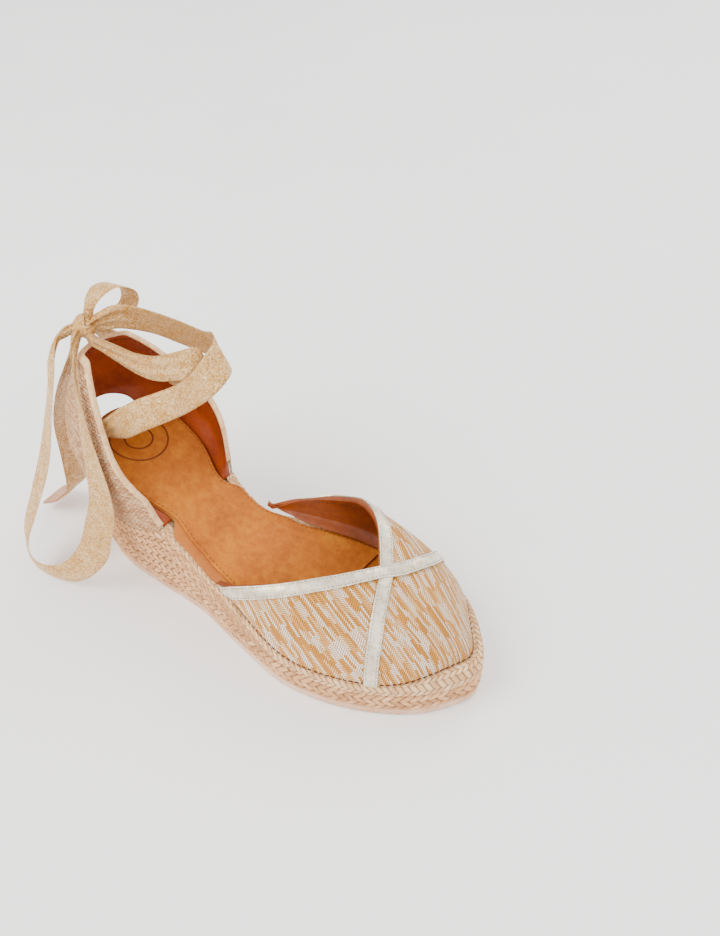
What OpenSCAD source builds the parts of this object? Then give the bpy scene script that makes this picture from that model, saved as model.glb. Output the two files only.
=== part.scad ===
// Espadrille wedge sandal for the right foot, with a closed toe, a jute heel counter and a
// ribbon that ties round the ankle. Millimetres. +X points to the toe, +Y to the inner side
// of the foot, +Z up. The origin is on the ground at the middle of the shoe's length.

/* [Size] */
// Length of the shoe from the back of the heel to the toe
shoe_len = 242; // [232:1:254]
// Width of the outsole at the ball of the foot
sole_width = 92; // [87:1:98]
// Height of the platform under the ball
platform_h = 24; // [22:0.5:28]
// How much higher the heel seat is than the platform
heel_rise = 55; // [48:1:60]
// How far the jute lip rises in front of the toe
toe_lip = 5; // [2:0.5:6]

/* [Sole] */
// Thickness of the rubber outsole
outsole_t = 5.5; // [4.5:0.5:6.5]
// Pitch of the tread grooves under the forefoot
tread_pitch = 5.5; // [5:0.5:8]
// Depth of the tread grooves
tread_depth = 1.9; // [0.8:0.1:2]
// Height of the flat jute braid that runs right round the sole
base_braid_h = 11.5; // [10:0.5:12]
// Width of the jute wall, from its face inwards
braid_w = 5; // [4:0.5:5]
// Height of the stitched jute edge under the upper
edge_h = 6; // [5:0.5:6]
// Height at the back where the jute cloth of the counter takes over from the braid
cloth_line = 48; // [44:1:50]

/* [Upper] */
// Thickness of the woven raffia cloth
raffia_t = 0.9; // [0.7:0.1:1]
// Thickness of the leather lining of the vamp
vamp_lining_t = 0.9; // [0.7:0.1:1]
// Width of the metallic leather trim strips
strip_w = 6.8; // [6:0.5:8.5]
// Height of the counter above the ground at the back
counter_top = 134; // [126:1:138]
// Thickness of the jute cloth on the counter
cloth_t = 1.2; // [0.9:0.1:1.2]
// Half the width of the arched window at the back of the counter
window_half = 27; // [22:1:28]
// Height of the window's crown above the ground
window_top = 87; // [84:1:90]

/* [Ribbon] */
// Width of the ankle ribbon
ribbon_w = 17; // [15:0.5:19]
// Thickness of the ankle ribbon
ribbon_t = 0.6; // [0.4:0.1:0.8]
// Diameter of the knot
knot_d = 11; // [10:0.5:12]

/* [Hidden] */
ref_len = 242;
ref_mid = 125;
ref_width = 92;
kx = shoe_len / ref_len;
ky = sole_width / ref_width;
gap = 0.12;
slope_front = 178;
slope_run = 148;
heel_wall = 8.5;
bulge_z = 80;
board_t = 2.1;
cover_t = 1.0;
sock_t = 1.0;
bed_gap = 0.25;
bed_t = board_t + cover_t + sock_t + 2 * bed_gap;
stiffener_t = 0.7;
lining_t = 0.9;
hollow = 4;
arch_dip = 4.5;
hub_in = 1.6;
lap_in = 0.9;
lining_cove = 4;
toe_guard = 4.6;
ring_n = 96;
toe_r = 0.51;
jute = [0.78, 0.68, 0.55];
rubber = [0.80, 0.68, 0.59];
tan_leather = [0.62, 0.28, 0.10];
gold = [0.80, 0.72, 0.55];

// Plan of the sole at the ground, from the back of the heel along the inner side to the toe
// and back along the outer side, for the reference length and width
PLAN = [[12, 0], [16, 13], [30, 23.5], [58, 24], [92, 21], [125, 28], [158, 43], [190, 45.5],
        [219, 36], [238, 17.5], [246, 2], [240, -11.5], [223, -28], [194, -41.5], [162, -46.5],
        [132, -41], [98, -32.5], [66, -30], [36, -26.5], [17, -16]];

// Top line of the vamp as plan position and height above the footbed, outer side first
TOP_OUTER = [[117, -38.5, 1.6], [125, -41.7, 11.9], [135, -39, 20.7], [145, -35, 28.1],
             [155, -29.2, 33.8], [165, -21, 37.1], [175, -10.9, 37.7], [186, 4.5, 34.8]];
TOP_INNER = [[186, 4.5, 34.8], [175, 22, 39.7], [165, 31.3, 38.7], [155, 36.3, 33],
             [145, 37.8, 24.2], [135, 36.5, 16], [125.5, 31.5, 9], [115, 25, 2.8], [106, 20, -3.4]];

function smooth(a, b, x) = let(t = min(max((x - a) / (b - a), 0), 1)) t * t * (3 - 2 * t);
function mix(a, b, t) = a + (b - a) * t;
function unit(v) = v / norm(v);
function spline(a, b, c, d, t) =
    0.5 * (2 * b + (c - a) * t + (2 * a - 5 * b + 4 * c - d) * t * t
           + (3 * b - a - 3 * c + d) * t * t * t);
function along(P, s) =
    let(n = len(P), q = min(max(s, 0), 1) * (n - 1), i = min(floor(q), n - 2))
    spline(P[max(i - 1, 0)], P[i], P[i + 1], P[min(i + 2, n - 1)], q - i);

// Plan outline and its outward normal at r, where r runs once round from 0 to 1
function plan_at(i) = let(n = len(PLAN)) PLAN[(i % n + n) % n];
function plan(r) =
    let(s = r * len(PLAN), i = floor(s))
    spline(plan_at(i - 1), plan_at(i), plan_at(i + 1), plan_at(i + 2), s - i);
function outward(r) = let(d = plan(r + 0.003) - plan(r - 0.003)) unit([-d[1], d[0]]);

// Footbed height along the middle, with the hollow of the waist, and how far its inner edge dips
function foot_z(x) = platform_h + heel_rise * smooth(0, 1, (slope_front - x) / slope_run)
    - hollow * smooth(60, 78, x) * (1 - smooth(104, 122, x));
function dip(p) = p[1] > 0 ? arch_dip * smooth(82, 96, p[0]) * (1 - smooth(112, 135, p[0])) : 0;
function bed_z(p) = foot_z(p[0]) - dip(p);

// Toe lip and the flare of the heel wall
function lip_z(x) = toe_lip * smooth(205, 248, x);
function edge_z(x) = foot_z(x) + lip_z(x);
function rim_z(p) = edge_z(p[0]) - dip(p);
function flare(z) =
    z < bulge_z ? heel_wall * pow(max(z, 0) / bulge_z, 1.2) : heel_wall - 0.006 * pow(z - bulge_z, 2);
function flare_part(p) = p[1] < 0 ? 1 - smooth(58, 84, p[0]) : 1 - smooth(66, 92, p[0]);
function lean(p, z) = (p[1] > 0 ? -2.2 - 2.5 * smooth(90, 104, p[0]) : -2.2)
    * smooth(40, 70, p[0]) * (1 - smooth(105, 135, p[0])) * min(z / 60, 1);
function counter_end(x) = edge_z(x) + 0.8;
function counter_outer(x) = mix(counter_top - (counter_top - 58) * pow(max(x - 28, 0) / 57, 1.4),
                                counter_end(x), smooth(73, 79.5, x));
function counter_inner(x) = mix(counter_top - (counter_top - 92) * pow(max(x - 28, 0) / 50, 1.25),
                                counter_end(x), pow(min(max(x - 78, 0) / 5.8, 1), 2.5));
function counter_z(p) =
    p[0] < 28 ? counter_top - 2 + 2 * smooth(12, 28, p[0])
              : p[1] > 0 ? counter_inner(p[0]) : counter_outer(p[0]);
function cloth_z(x) = cloth_line + 6 * smooth(40, 80, x);

// Point on the wall of the sandal at r and height z, moved outwards by off
function wall(r, z, off) =
    let(p = plan(r), n = outward(r), d = flare(z) * flare_part(p) + off)
    [kx * (p[0] + n[0] * d), ky * (p[1] + n[1] * d + lean(p, z)), z];

// Vamp surface: u runs round the feather line from the outer to the inner corner, v goes up
// from the feather line to the top line
function vamp_r(u) =
    let(q = (u - 0.5) * 8 / 3)
    u < 0.5 ? mix(0.769, toe_r, u * 2)
            : q < 1 ? mix(toe_r, 0.256, q) : mix(0.256, 0.22, (q - 1) * 3);
function feather_in(p) = -1 - toe_guard * smooth(212, 244, p[0]);
function feather(u) =
    let(r = vamp_r(u), p = plan(r), q = p + outward(r) * feather_in(p))
    [q[0], q[1], rim_z(p) + gap];
function top_line(u) =
    let(p = u < 0.5 ? along(TOP_OUTER, u * 2) : along(TOP_INNER, u * 2 - 1))
    [p[0], p[1], foot_z(p[0]) + p[2]];
function vamp(u, v) =
    let(a = feather(u), b = top_line(u), s = 1 - cos(90 * v), n = outward(vamp_r(u)),
        w = 1.2 * sin(180 * v))
    [kx * (mix(a[0], b[0], s) + n[0] * w), ky * (mix(a[1], b[1], s) + n[1] * w),
     mix(a[2], b[2], mix(s, sin(90 * v), 0.6))];
function vamp_n(u, v) =
    let(e = 0.02, u0 = max(u - e, 0), u1 = min(u + e, 1), v0 = max(v - e, 0), v1 = min(v + e, 1),
        du = vamp(u1, v) - vamp(u0, v), dv = vamp(u, v1) - vamp(u, v0))
    unit(cross(du, dv));
function vamp_off(u, v, d) =
    let(p = vamp(u, v), n = vamp_n(u, v), q = p + n * d) [q[0], q[1], max(q[2], feather(u)[2])];

// Edge of the insole board, measured inwards from the wall, and of the cover, which laps over
// the jute edge where the waist is open
function bed_off(p) =
    -braid_w - 0.3 - 3.4 * (1 - smooth(78, 96, p[0])) - 4.6 * smooth(205, 240, p[0]);
function waist(p) =
    p[1] > 0 ? smooth(84, 92, p[0]) * (1 - smooth(112, 128, p[0]))
             : smooth(79.8, 88, p[0]) * (1 - smooth(122, 136, p[0]));
function cover_off(p) = mix(bed_off(p), -lap_in, waist(p));
function lap(p) = 1 - (p[1] > 0 ? smooth(126, 131, p[0]) : smooth(134, 139, p[0]));

module place() {
    translate([-kx * ref_mid, 0, 0]) children();
}

// Skin over a row of sections, closed into a loop or capped at both ends
module skin(rows, loop = false) {
    n = len(rows[0]);
    m = len(rows);
    sides = [for (i = [0:(loop ? m : m - 1) - 1], j = [0:n - 1])
        let(k = (i + 1) % m, l = (j + 1) % n)
        each [[i * n + j, i * n + l, k * n + l], [i * n + j, k * n + l, k * n + j]]];
    caps = loop ? [] : [for (j = [1:n - 2]) each [[0, j + 1, j],
        [(m - 1) * n, (m - 1) * n + j, (m - 1) * n + j + 1]]];
    polyhedron([for (r = rows) each r], concat(sides, caps), convexity = 10);
}

// Shell between two grids of points; keep[i][j] says which cells are there
module shell(outer, inner, keep) {
    ni = len(outer);
    nj = len(outer[0]);
    inside = function(i, j) i >= 0 && j >= 0 && i < ni - 1 && j < nj - 1 && keep[i][j];
    a = function(i, j) i * nj + j;
    b = function(i, j) ni * nj + i * nj + j;
    quads = [for (i = [0:ni - 2], j = [0:nj - 2]) if (keep[i][j]) each concat(
        [[a(i, j), a(i + 1, j), a(i + 1, j + 1), a(i, j + 1)],
         [b(i, j), b(i, j + 1), b(i + 1, j + 1), b(i + 1, j)]],
        inside(i - 1, j) ? [] : [[a(i, j), a(i, j + 1), b(i, j + 1), b(i, j)]],
        inside(i + 1, j) ? [] : [[a(i + 1, j + 1), a(i + 1, j), b(i + 1, j), b(i + 1, j + 1)]],
        inside(i, j - 1) ? [] : [[a(i + 1, j), a(i, j), b(i, j), b(i + 1, j)]],
        inside(i, j + 1) ? [] : [[a(i, j + 1), a(i + 1, j + 1), b(i + 1, j + 1), b(i, j + 1)]])];
    polyhedron([for (g = [outer, inner], r = g) each r],
        [for (q = quads) each [[q[0], q[2], q[1]], [q[0], q[3], q[2]]]], convexity = 10);
}

// Solid through a stack of outlines, closed at both ends across the foot
module stack(rings) {
    n = len(rings[0]);
    top = (len(rings) - 1) * n;
    sides = [for (k = [0:len(rings) - 2], i = [0:n - 1]) let(a = k * n + i, b = k * n + (i + 1) % n)
        each [[a, b + n, b], [a, a + n, b + n]]];
    lids = [for (i = [0:n / 2 - 2]) let(j = n - 1 - i) each [[i, j - 1, j], [i, i + 1, j - 1],
        [top + i, top + j, top + j - 1], [top + i, top + j - 1, top + i + 1]]];
    polyhedron([for (g = rings) each g], concat(sides, lids), convexity = 10);
}

function round_r(n) = [for (i = [0:n - 1]) toe_r - (i + 0.5) / n];
function bed(rs, edge, dz) = [for (r = rs) let(p = plan(r)) wall(r, bed_z(p) + dz, edge(p))];

// Layer of the footbed between two depths; its faces all hang on the same inner outline
module layer(rs, edge, low, high) {
    hub = function(p) bed_off(p) - hub_in;
    stack([bed(rs, hub, low), bed(rs, edge, low), bed(rs, edge, high), bed(rs, hub, high)]);
}

// One braid course of the wall, between two heights that follow the sole
module course(rs, low, high, loop = false) {
    skin([for (r = rs) let(p = plan(r), a = low(p), b = high(p),
              out = min(1.3, 0.25 * (b - a)) - 0.6)
          [wall(r, a, -braid_w), wall(r, a, -0.6), wall(r, (a + b) / 2, out),
           wall(r, b, -0.6), wall(r, b, -braid_w)]], loop);
}

// Rubber outsole with tread grooves across the forefoot
module outsole() {
    groove_from = 150;
    groove_n = floor(90 / tread_pitch);
    color(rubber) place() difference() {
        linear_extrude(outsole_t)
            polygon([for (i = [0:ring_n - 1]) let(p = wall(i / ring_n, 0, 0)) [p[0], p[1]]]);
        for (i = [0:groove_n])
            translate([kx * groove_from + i * tread_pitch, 0, 0])
                rotate([90, 0, 0])
                    cylinder(r = tread_depth, h = 2 * sole_width, center = true, $fn = 12);
    }
}

// Light wedge core under the whole foot
module wedge_core() {
    rs = round_r(ring_n);
    heel = function(x) 1 - smooth(70, 81, x);
    top = function(x) foot_z(x) - bed_t - 0.4;
    step = function(x) mix(cloth_z(x) + 0.1, top(x) - 8, smooth(77, 84, x));
    brow = function(x) max(step(x) + 1.5, top(x) - 6);
    side = function(p) bed_off(p) + 3.4 * (1 - smooth(78, 96, p[0])) - 0.25;
    out = function(p) mix(side(p), -cloth_t - 0.2, heel(p[0]));
    ring = function(z, off) [for (r = rs) let(p = plan(r)) wall(r, z(p[0]) - dip(p), off(p))];
    color([0.72, 0.62, 0.50]) place() stack([
        [for (r = rs) wall(r, outsole_t + gap, side(plan(r)))], ring(step, side),
        ring(function(x) step(x) + 1, out), ring(brow, out),
        ring(top, function(p) mix(side(p), -4.2, heel(p[0]))),
        bed(rs, function(p) bed_off(p) - hub_in, -bed_t - 0.4)]);
}

// Flat herringbone braid round the whole sole
module base_braid() {
    low = outsole_t + gap;
    high = outsole_t + base_braid_h - gap;
    color(jute) place() course([for (i = [0:ring_n - 1]) 1 - i / ring_n],
        function(p) low, function(p) high, true);
}

// Braid courses that fan out from the ball to the heel
courses = 5;
function course_top(p) =
    mix(cloth_z(p[0]) - gap, rim_z(p) - edge_h - gap, smooth(77, 83, p[0]));
function course_z(p, k) = mix(outsole_t + base_braid_h, course_top(p), k / courses);
module braid_row(k) {
    rs = [for (i = [0:44]) mix(0.311, -0.303, i / 44)];
    color(jute) place() course(rs, function(p) course_z(p, k) + 0.06,
        function(p) course_z(p, k + 1) - 0.06);
}
module course_1() { braid_row(0); }
module course_2() { braid_row(1); }
module course_3() { braid_row(2); }
module course_4() { braid_row(3); }
module course_5() { braid_row(4); }

// Stitched jute edge from the waist round the toe, with the lip in front of the toe
module jute_edge() {
    rs = [for (i = [0:58]) mix(0.8285, 0.1875, i / 58)];
    braid_top = outsole_t + base_braid_h + gap;
    color([0.84, 0.76, 0.64]) place() skin([for (r = rs)
        let(p = plan(r), z = rim_z(p) - (cover_t + sock_t + 2 * bed_gap) * lap(p),
            inner = -braid_w - 0.1 - 4.6 * smooth(205, 240, p[0]),
            low = mix(rim_z(p) - edge_h, braid_top, smooth(165, 175, p[0])), h = z - low)
        [wall(r, low, inner), wall(r, low, -0.4), wall(r, low + 0.4 * h, 0.9),
         wall(r, low + 0.7 * h, 0.9), wall(r, z, -0.4), wall(r, z, inner)]]);
}

// Fibre insole board
module insole_board() {
    rs = round_r(84);
    top = board_t - bed_t;
    color([0.60, 0.50, 0.38]) place() layer(rs, function(p) bed_off(p) - 0.1, top - board_t, top);
}

// Leather insole cover over the whole board
module insole_cover() {
    rs = round_r(84);
    top = -sock_t - bed_gap;
    color([0.85, 0.50, 0.18]) place() layer(rs, function(p) cover_off(p) - 0.1, top - cover_t, top);
}

// Suede sock from the heel to the ball, narrower than the cover along the outer side
module sock_lining() {
    all = round_r(84);
    rs = [for (i = [16:67]) all[i]];
    edge = function(p) p[1] > 0 ? cover_off(p) - 0.5 : bed_off(p) - 0.8;
    color([0.70, 0.42, 0.22]) place() layer(rs, edge, -sock_t, 0);
}

// Plain round emblem pressed on the heel of the sock: two rings
module heel_emblem() {
    emblem_r = 15.5;
    emblem_x = 41;
    tilt = atan((foot_z(emblem_x - 8) - foot_z(emblem_x + 8)) / 16);
    color([0.40, 0.20, 0.09]) place()
        translate([kx * emblem_x, -2, foot_z(emblem_x) + 0.3])
            rotate([0, tilt, 0]) {
                difference() {
                    cylinder(r = emblem_r, h = 0.3, $fn = 48);
                    translate([0, 0, -1]) cylinder(r = emblem_r - 1, h = 3, $fn = 48);
                }
                difference() {
                    cylinder(r = emblem_r / 2, h = 0.3, $fn = 32);
                    translate([0, 0, -1]) cylinder(r = emblem_r / 2 - 1, h = 3, $fn = 32);
                }
            }
}

// Layer of the vamp between two depths below its face
module vamp_layer(d0, d1, u0, u1, v1, nu, nv, cove = 0) {
    grid = function(d, c) [for (i = [0:nu]) [for (j = [0:nv])
        let(v = v1 * j / nv, u = mix(u0, u1, i / nu), ahead = smooth(112, 132, plan(vamp_r(u))[0]))
        vamp_off(u, v, -d - c * (1 - smooth(0, 0.28, v)) * ahead)]];
    shell(grid(d0, 0), grid(d1, cove), [for (i = [0:nu - 1]) [for (j = [0:nv - 1]) true]]);
}
module vamp_raffia() {
    color([0.86, 0.78, 0.62]) place() vamp_layer(0, raffia_t, 0, 1, 1, 42, 9);
}
module toe_puff() {
    d = raffia_t + 0.15;
    color([0.90, 0.88, 0.82]) place() vamp_layer(d, d + 0.6, 0.36, 0.64, 0.6, 14, 6);
}
module vamp_lining() {
    d = raffia_t + 0.95;
    color(tan_leather) place() vamp_layer(d, d + vamp_lining_t, 0, 1, 1, 38, 9,
        lining_cove);
}

// Metallic leather strips: each follows one side of the top line, crosses at the throat and
// runs down to the feather line on the other side, bowed towards the toe
turn_s = 0.62;
FAR_INNER = [200.5, 43];
FAR_OUTER = [206.5, -36.5];
function strip_v(u) = 1 - asin(min(1, 0.5 * strip_w / norm(vamp(u, 1) - vamp(u, 0)))) / 58;
function beside(p, a, b, bow) =
    let(d = [b[0] - a[0], b[1] - a[1]], q = [p[0] - a[0], p[1] - a[1]], w = (q * d) / (d * d))
    (d[0] * q[1] - d[1] * q[0]) / norm(d) + 4 * bow * w * (1 - w);
function on_line(v, a, b, bow, u0, u1, k) =
    let(u = (u0 + u1) / 2, same = beside(vamp(u, v), a, b, bow) * beside(vamp(u0, v), a, b, bow) > 0)
    k == 0 ? u : same ? on_line(v, a, b, bow, u, u1, k - 1) : on_line(v, a, b, bow, u0, u, k - 1);
module trim(start, far, u_far, bow, lift) {
    n = 44;
    v_mid = strip_v(0.5);
    a = vamp(0.5, v_mid);
    b = [kx * far[0], ky * far[1]];
    at = function(s)
        s < turn_s ? let(u = mix(start, 0.5, max(s, 0) / turn_s)) [u, strip_v(u)]
                   : let(t = min((s - turn_s) / (1 - turn_s), 1), v = mix(v_mid, 0, t))
                     [on_line(v, a, b, bow, mix(0.5, start, 0.02), u_far, 12), v];
    spot = function(s) let(q = at(s)) vamp(q[0], q[1]);
    clear = function(p) [p[0], p[1], max(p[2], edge_z(p[0] / kx) + gap + 0.1)];
    color([0.86, 0.83, 0.76]) place() skin([for (i = [0:n])
        let(s = i / n, q = at(s), c = vamp(q[0], q[1]), m = vamp_n(q[0], q[1]),
            side = unit(cross(spot(min(s + 0.01, 1)) - spot(max(s - 0.01, 0)), m)) * strip_w / 2,
            h = m * (0.35 + lift * smooth(0.45, 0.62, s) * (1 - smooth(0.72, 0.85, s))), w = m * 0.7)
        [clear(c - side + h), clear(c + side + h), clear(c + side + h + w), clear(c - side + h + w)]]);
}
module trim_outer() { trim(0.045, FAR_INNER, 0.9, 7, 1); }
module trim_inner() { trim(0.9, FAR_OUTER, 0.1, 0, 0); }

// Counter: columns run from the inner front edge round the heel to the outer front edge
counter_cols = 44;
function counter_r(i) = mix(0.187, -0.171, i / counter_cols);
function window_z(r) =
    let(p = wall(r, 70, 0), s = abs(p[1]) / ky + max(p[0] / kx - 12, 0) * 0.35)
    s < window_half ? mix(72, window_top, pow(1 - pow(s / window_half, 2.4), 0.5)) : 0;
module counter_layer(d0, d1, foot, trim_top, cove, slots) {
    rows = 9;
    full = counter_top - 2 - foot(12);
    z_at = function(i, j)
        let(r = counter_r(i), p = plan(r), lo = foot(p[0]),
            hi = max(counter_z(p) - trim_top, lo + 1.2),
            w = window_z(r), a = mix(lo, hi, (67 - foot(12)) / full),
            b = max(w, mix(lo, hi, (72 - foot(12)) / full)))
        j == 0 ? lo : j == 1 ? max(a, lo + 0.4) : mix(max(b, lo + 0.8), hi, (j - 2) / (rows - 2));
    grid = function(d, c) [for (i = [0:counter_cols]) [for (j = [0:rows])
        let(z = z_at(i, j), lo = foot(plan(counter_r(i))[0]))
        wall(counter_r(i), z, -d - c * (1 - smooth(0, 14, z - lo)))]];
    hole = function(i, j) let(w = min(window_z(counter_r(i)), window_z(counter_r(i + 1))))
        w > 0 && (cove > 0 ? j < 2 : j == 1);
    slot = function(i, j) slots && (i == 7 || i == counter_cols - 7) && (j == 6 || j == 7);
    shell(grid(d0, 0), grid(d1, cove),
        [for (i = [0:counter_cols - 1]) [for (j = [0:rows - 1]) !hole(i, j) && !slot(i, j)]]);
}
module counter_cloth() {
    color(jute) place() counter_layer(0, cloth_t, function(x) cloth_z(x) + 0.1, 3, 0, false);
}
module counter_stiffener() {
    d = cloth_t + 0.2;
    color([0.88, 0.84, 0.76]) place()
        counter_layer(d, d + stiffener_t, function(x) foot_z(x) - 3.6, 6, 0.001, false);
}
module counter_lining() {
    d = cloth_t + stiffener_t + 0.35;
    color(tan_leather) place()
        counter_layer(d, d + lining_t, function(x) foot_z(x) - 3.6, 3, 5.2, true);
}
module counter_binding() {
    r0 = 1.35;
    d = (cloth_t + stiffener_t + lining_t) / 2;
    color([0.90, 0.85, 0.75]) place() skin([for (i = [0:counter_cols])
        let(r = counter_r(i), z = counter_z(plan(r)) - 1.5)
        [for (a = [0:45:315]) wall(r, z + r0 * sin(a), -d + r0 * cos(a))]]);
}

// Ribbon through a list of [centre, direction across, share of the full width], smoothed
module ribbon(path, w = ribbon_w, steps = 5) {
    C = [for (p = path) p[0]];
    S = [for (p = path) unit(p[1])];
    W = [for (p = path) len(p) > 2 ? p[2] : 1];
    n = (len(path) - 1) * steps;
    skin([for (i = [0:n])
        let(s = i / n, c = along(C, s), t = along(C, min(s + 0.01, 1)) - along(C, max(s - 0.01, 0)),
            a = unit(along(S, s)), m = unit(cross(t, a)) * ribbon_t / 2, e = a * w * along(W, s) / 2)
        [c - e - m, c - e + m, c + e + m, c + e - m]]);
}

// Ribbon from the outer slot across the front of the ankle and back along the inner side
module ribbon_outer() {
    color(gold) place() ribbon([
        [[45, -29.8, 106], [0, 0, 1], 0.65], [[47, -27.4, 106.3], [0, 0, 1], 0.68],
        [[51, -25.5, 108], [-0.1, 0.05, 1], 0.8], [[59, -23, 113], [-0.2, 0.1, 1]],
        [[68, -19.5, 119.5], [-0.2, 0.1, 1]], [[81.5, -12, 127.2], [-0.1, 0.1, 1]],
        [[93, -9.8, 137], [-0.15, 0.1, 1]],
        [[102, -6.2, 147.5], [-0.35, 0, 0.9]], [[104.8, 1.5, 154.5], [-0.45, 0, 0.9]],
        [[99.5, 6.5, 155], [-0.3, -0.1, 1]], [[89, 10.5, 150.5], [0, -0.2, 1]],
        [[76, 14.5, 146.5], [0, -0.2, 1]], [[60, 18.5, 142.5], [0, -0.2, 1]],
        [[43, 18, 142], [0, -0.2, 1]], [[31.5, 11.5, 144], [0, -0.1, 1], 0.85],
        [[24.5, 5.5, 142.5], [0, 0, 1], 0.55]]);
}
// Ribbon from the inner slot, inside the other, back along the outer side
module ribbon_inner() {
    color(gold) place() ribbon([
        [[44, 25.4, 106], [0, 0, 1], 0.65], [[46, 23.2, 106.3], [0, 0, 1], 0.68],
        [[51, 21.2, 108], [-0.1, -0.05, 1], 0.8], [[59, 19, 113], [-0.2, -0.1, 1]],
        [[68, 15.5, 120], [-0.2, -0.1, 1]], [[80.5, 9.5, 129], [-0.2, -0.1, 1]],
        [[91.5, 3.5, 139], [-0.25, 0, 1]],
        [[98.5, -0.5, 148], [-0.4, 0, 0.9]], [[96, -3.2, 151], [-0.3, 0, 1]],
        [[88, -9, 150.2], [0, 0.1, 1], 0.9], [[76, -12.2, 146], [0, 0.2, 1], 0.75],
        [[62, -11, 142.6], [0, 0.2, 1], 0.65], [[46, -7.5, 139.5], [0, 0.2, 1], 0.55],
        [[34, -5, 137.5], [0, 0.2, 1], 0.45], [[25, -3, 136.5], [0, 0.1, 1], 0.4]]);
}

// Knot at the back of the ankle, above the counter
knot_x = 18;
module ribbon_knot() {
    knot_h = 9.5;
    color(gold) place() translate([kx * knot_x, 0.5, 140])
        rotate([0, 20, 0])
            rotate_extrude($fn = 32)
                polygon([for (a = [-90:15:90])
                    [abs(a) == 90 ? 0 : knot_d / 2 * cos(a), knot_h / 2 * sin(a)]]);
}

// Small loop of the bow that stands up beside the knot, on the inner side
module bow_loop_up() {
    side = [0.968, -0.144, 0.206];
    color(gold) place() ribbon([
        [[17.5, 4.6, 144.8], side, 0.45], [[17.6, 7.4, 149.5], side, 0.75], [[19, 14, 154], side],
        [[21.5, 20.5, 154], side], [[25, 26, 149.5], side], [[25.5, 24.5, 142.5], side],
        [[23, 16, 138.5], side, 0.75], [[19.5, 8.5, 138], side, 0.45]], 15);
}

// Long loop of the bow that hangs down the outer side of the heel
module bow_loop_hanging() {
    color(gold) place() ribbon([
        [[12, -6.8, 138.5], [0.5, -0.3, 0.8], 0.4], [[7, -10.5, 132.5], [0.7, -0.5, 0.5], 0.65],
        [[3, -14.5, 119], [0.8, -0.5, 0.1], 0.9], [[1, -20, 99.6], [0.8, -0.6, 0]],
        [[-2, -31, 67.4], [0.85, -0.5, 0]], [[-3, -46, 44], [0.85, -0.5, 0]],
        [[-3, -57, 28.5], [0.8, -0.4, 0.3]], [[3.5, -63, 17], [0.4, -0.2, 0.85]],
        [[16, -63, 14], [0.1, -0.25, 0.95]], [[30, -58, 17.5], [-0.3, -0.2, 0.9]],
        [[41, -50, 32], [-0.75, -0.2, 0.6]], [[46.5, -45.5, 51], [-0.9, -0.1, 0.35]],
        [[52, -44, 68], [-0.95, 0, 0.25]], [[53, -42.5, 86], [-0.95, 0.15, 0.3]],
        [[48, -38, 104], [-0.85, 0.3, 0.5]], [[39, -30, 120], [-0.75, 0.5, 0.5]],
        [[27, -18.5, 133], [-0.6, 0.45, 0.65], 0.8], [[20, -8.5, 138], [-0.2, 0.35, 0.9], 0.5]]);
}

// Ribbon end behind the heel, with its folded leather tip
module tail_rear() {
    color(gold) place() ribbon([
        [[11, 1.2, 134], [0.2, -0.9, 0.2], 0.4], [[5, 1.2, 123], [0.3, -0.9, 0], 0.6],
        [[-5.5, -3, 100], [0.3, -0.95, 0], 0.85], [[-12, -7, 75], [0.3, -0.95, 0]],
        [[-12, -9, 49], [0.2, -0.95, 0]], [[-11, -11, 30], [0.1, -0.95, 0]],
        [[-14.5, -12, 19], [0, -1, 0]], [[-21, -13, 12.5], [0, -1, 0]]]);
}
module tail_rear_tip() {
    color([0.78, 0.64, 0.56]) place() ribbon([
        [[-21.5, -13, 12.1], [0, -1, 0]], [[-27, -14, 8.6], [0, -1, 0]],
        [[-33, -15, 5.6], [0, -1, 0]]], ribbon_w + 1);
}

// Ribbon end on the inner side of the heel, with its folded leather tip
module tail_inner() {
    color(gold) place() ribbon([
        [[10.5, 7, 134.5], [0.6, -0.4, 0.6], 0.4], [[8, 14.5, 127], [0.8, 0.5, 0.1], 0.65],
        [[7.5, 26, 112], [0.8, 0.55, 0.1], 0.9], [[7, 33.5, 92], [0.8, 0.55, 0.1]],
        [[7, 37.5, 74], [0.8, 0.55, 0.1]]]);
}
module tail_inner_tip() {
    color([0.78, 0.64, 0.56]) place() ribbon([
        [[7, 37.7, 73.4], [0.8, 0.55, 0.1]], [[7, 38.7, 67], [0.8, 0.55, 0.1]],
        [[7, 39.5, 60], [0.8, 0.55, 0.1]]], ribbon_w + 1);
}

outsole();
wedge_core();
base_braid();
course_1();
course_2();
course_3();
course_4();
course_5();
jute_edge();
insole_board();
insole_cover();
sock_lining();
heel_emblem();
vamp_raffia();
toe_puff();
vamp_lining();
trim_outer();
trim_inner();
counter_cloth();
counter_stiffener();
counter_lining();
counter_binding();
ribbon_outer();
ribbon_inner();
ribbon_knot();
bow_loop_up();
bow_loop_hanging();
tail_rear();
tail_rear_tip();
tail_inner();
tail_inner_tip();
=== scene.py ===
import math

import bmesh
import bpy
import numpy as np
from mathutils import Matrix


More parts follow.
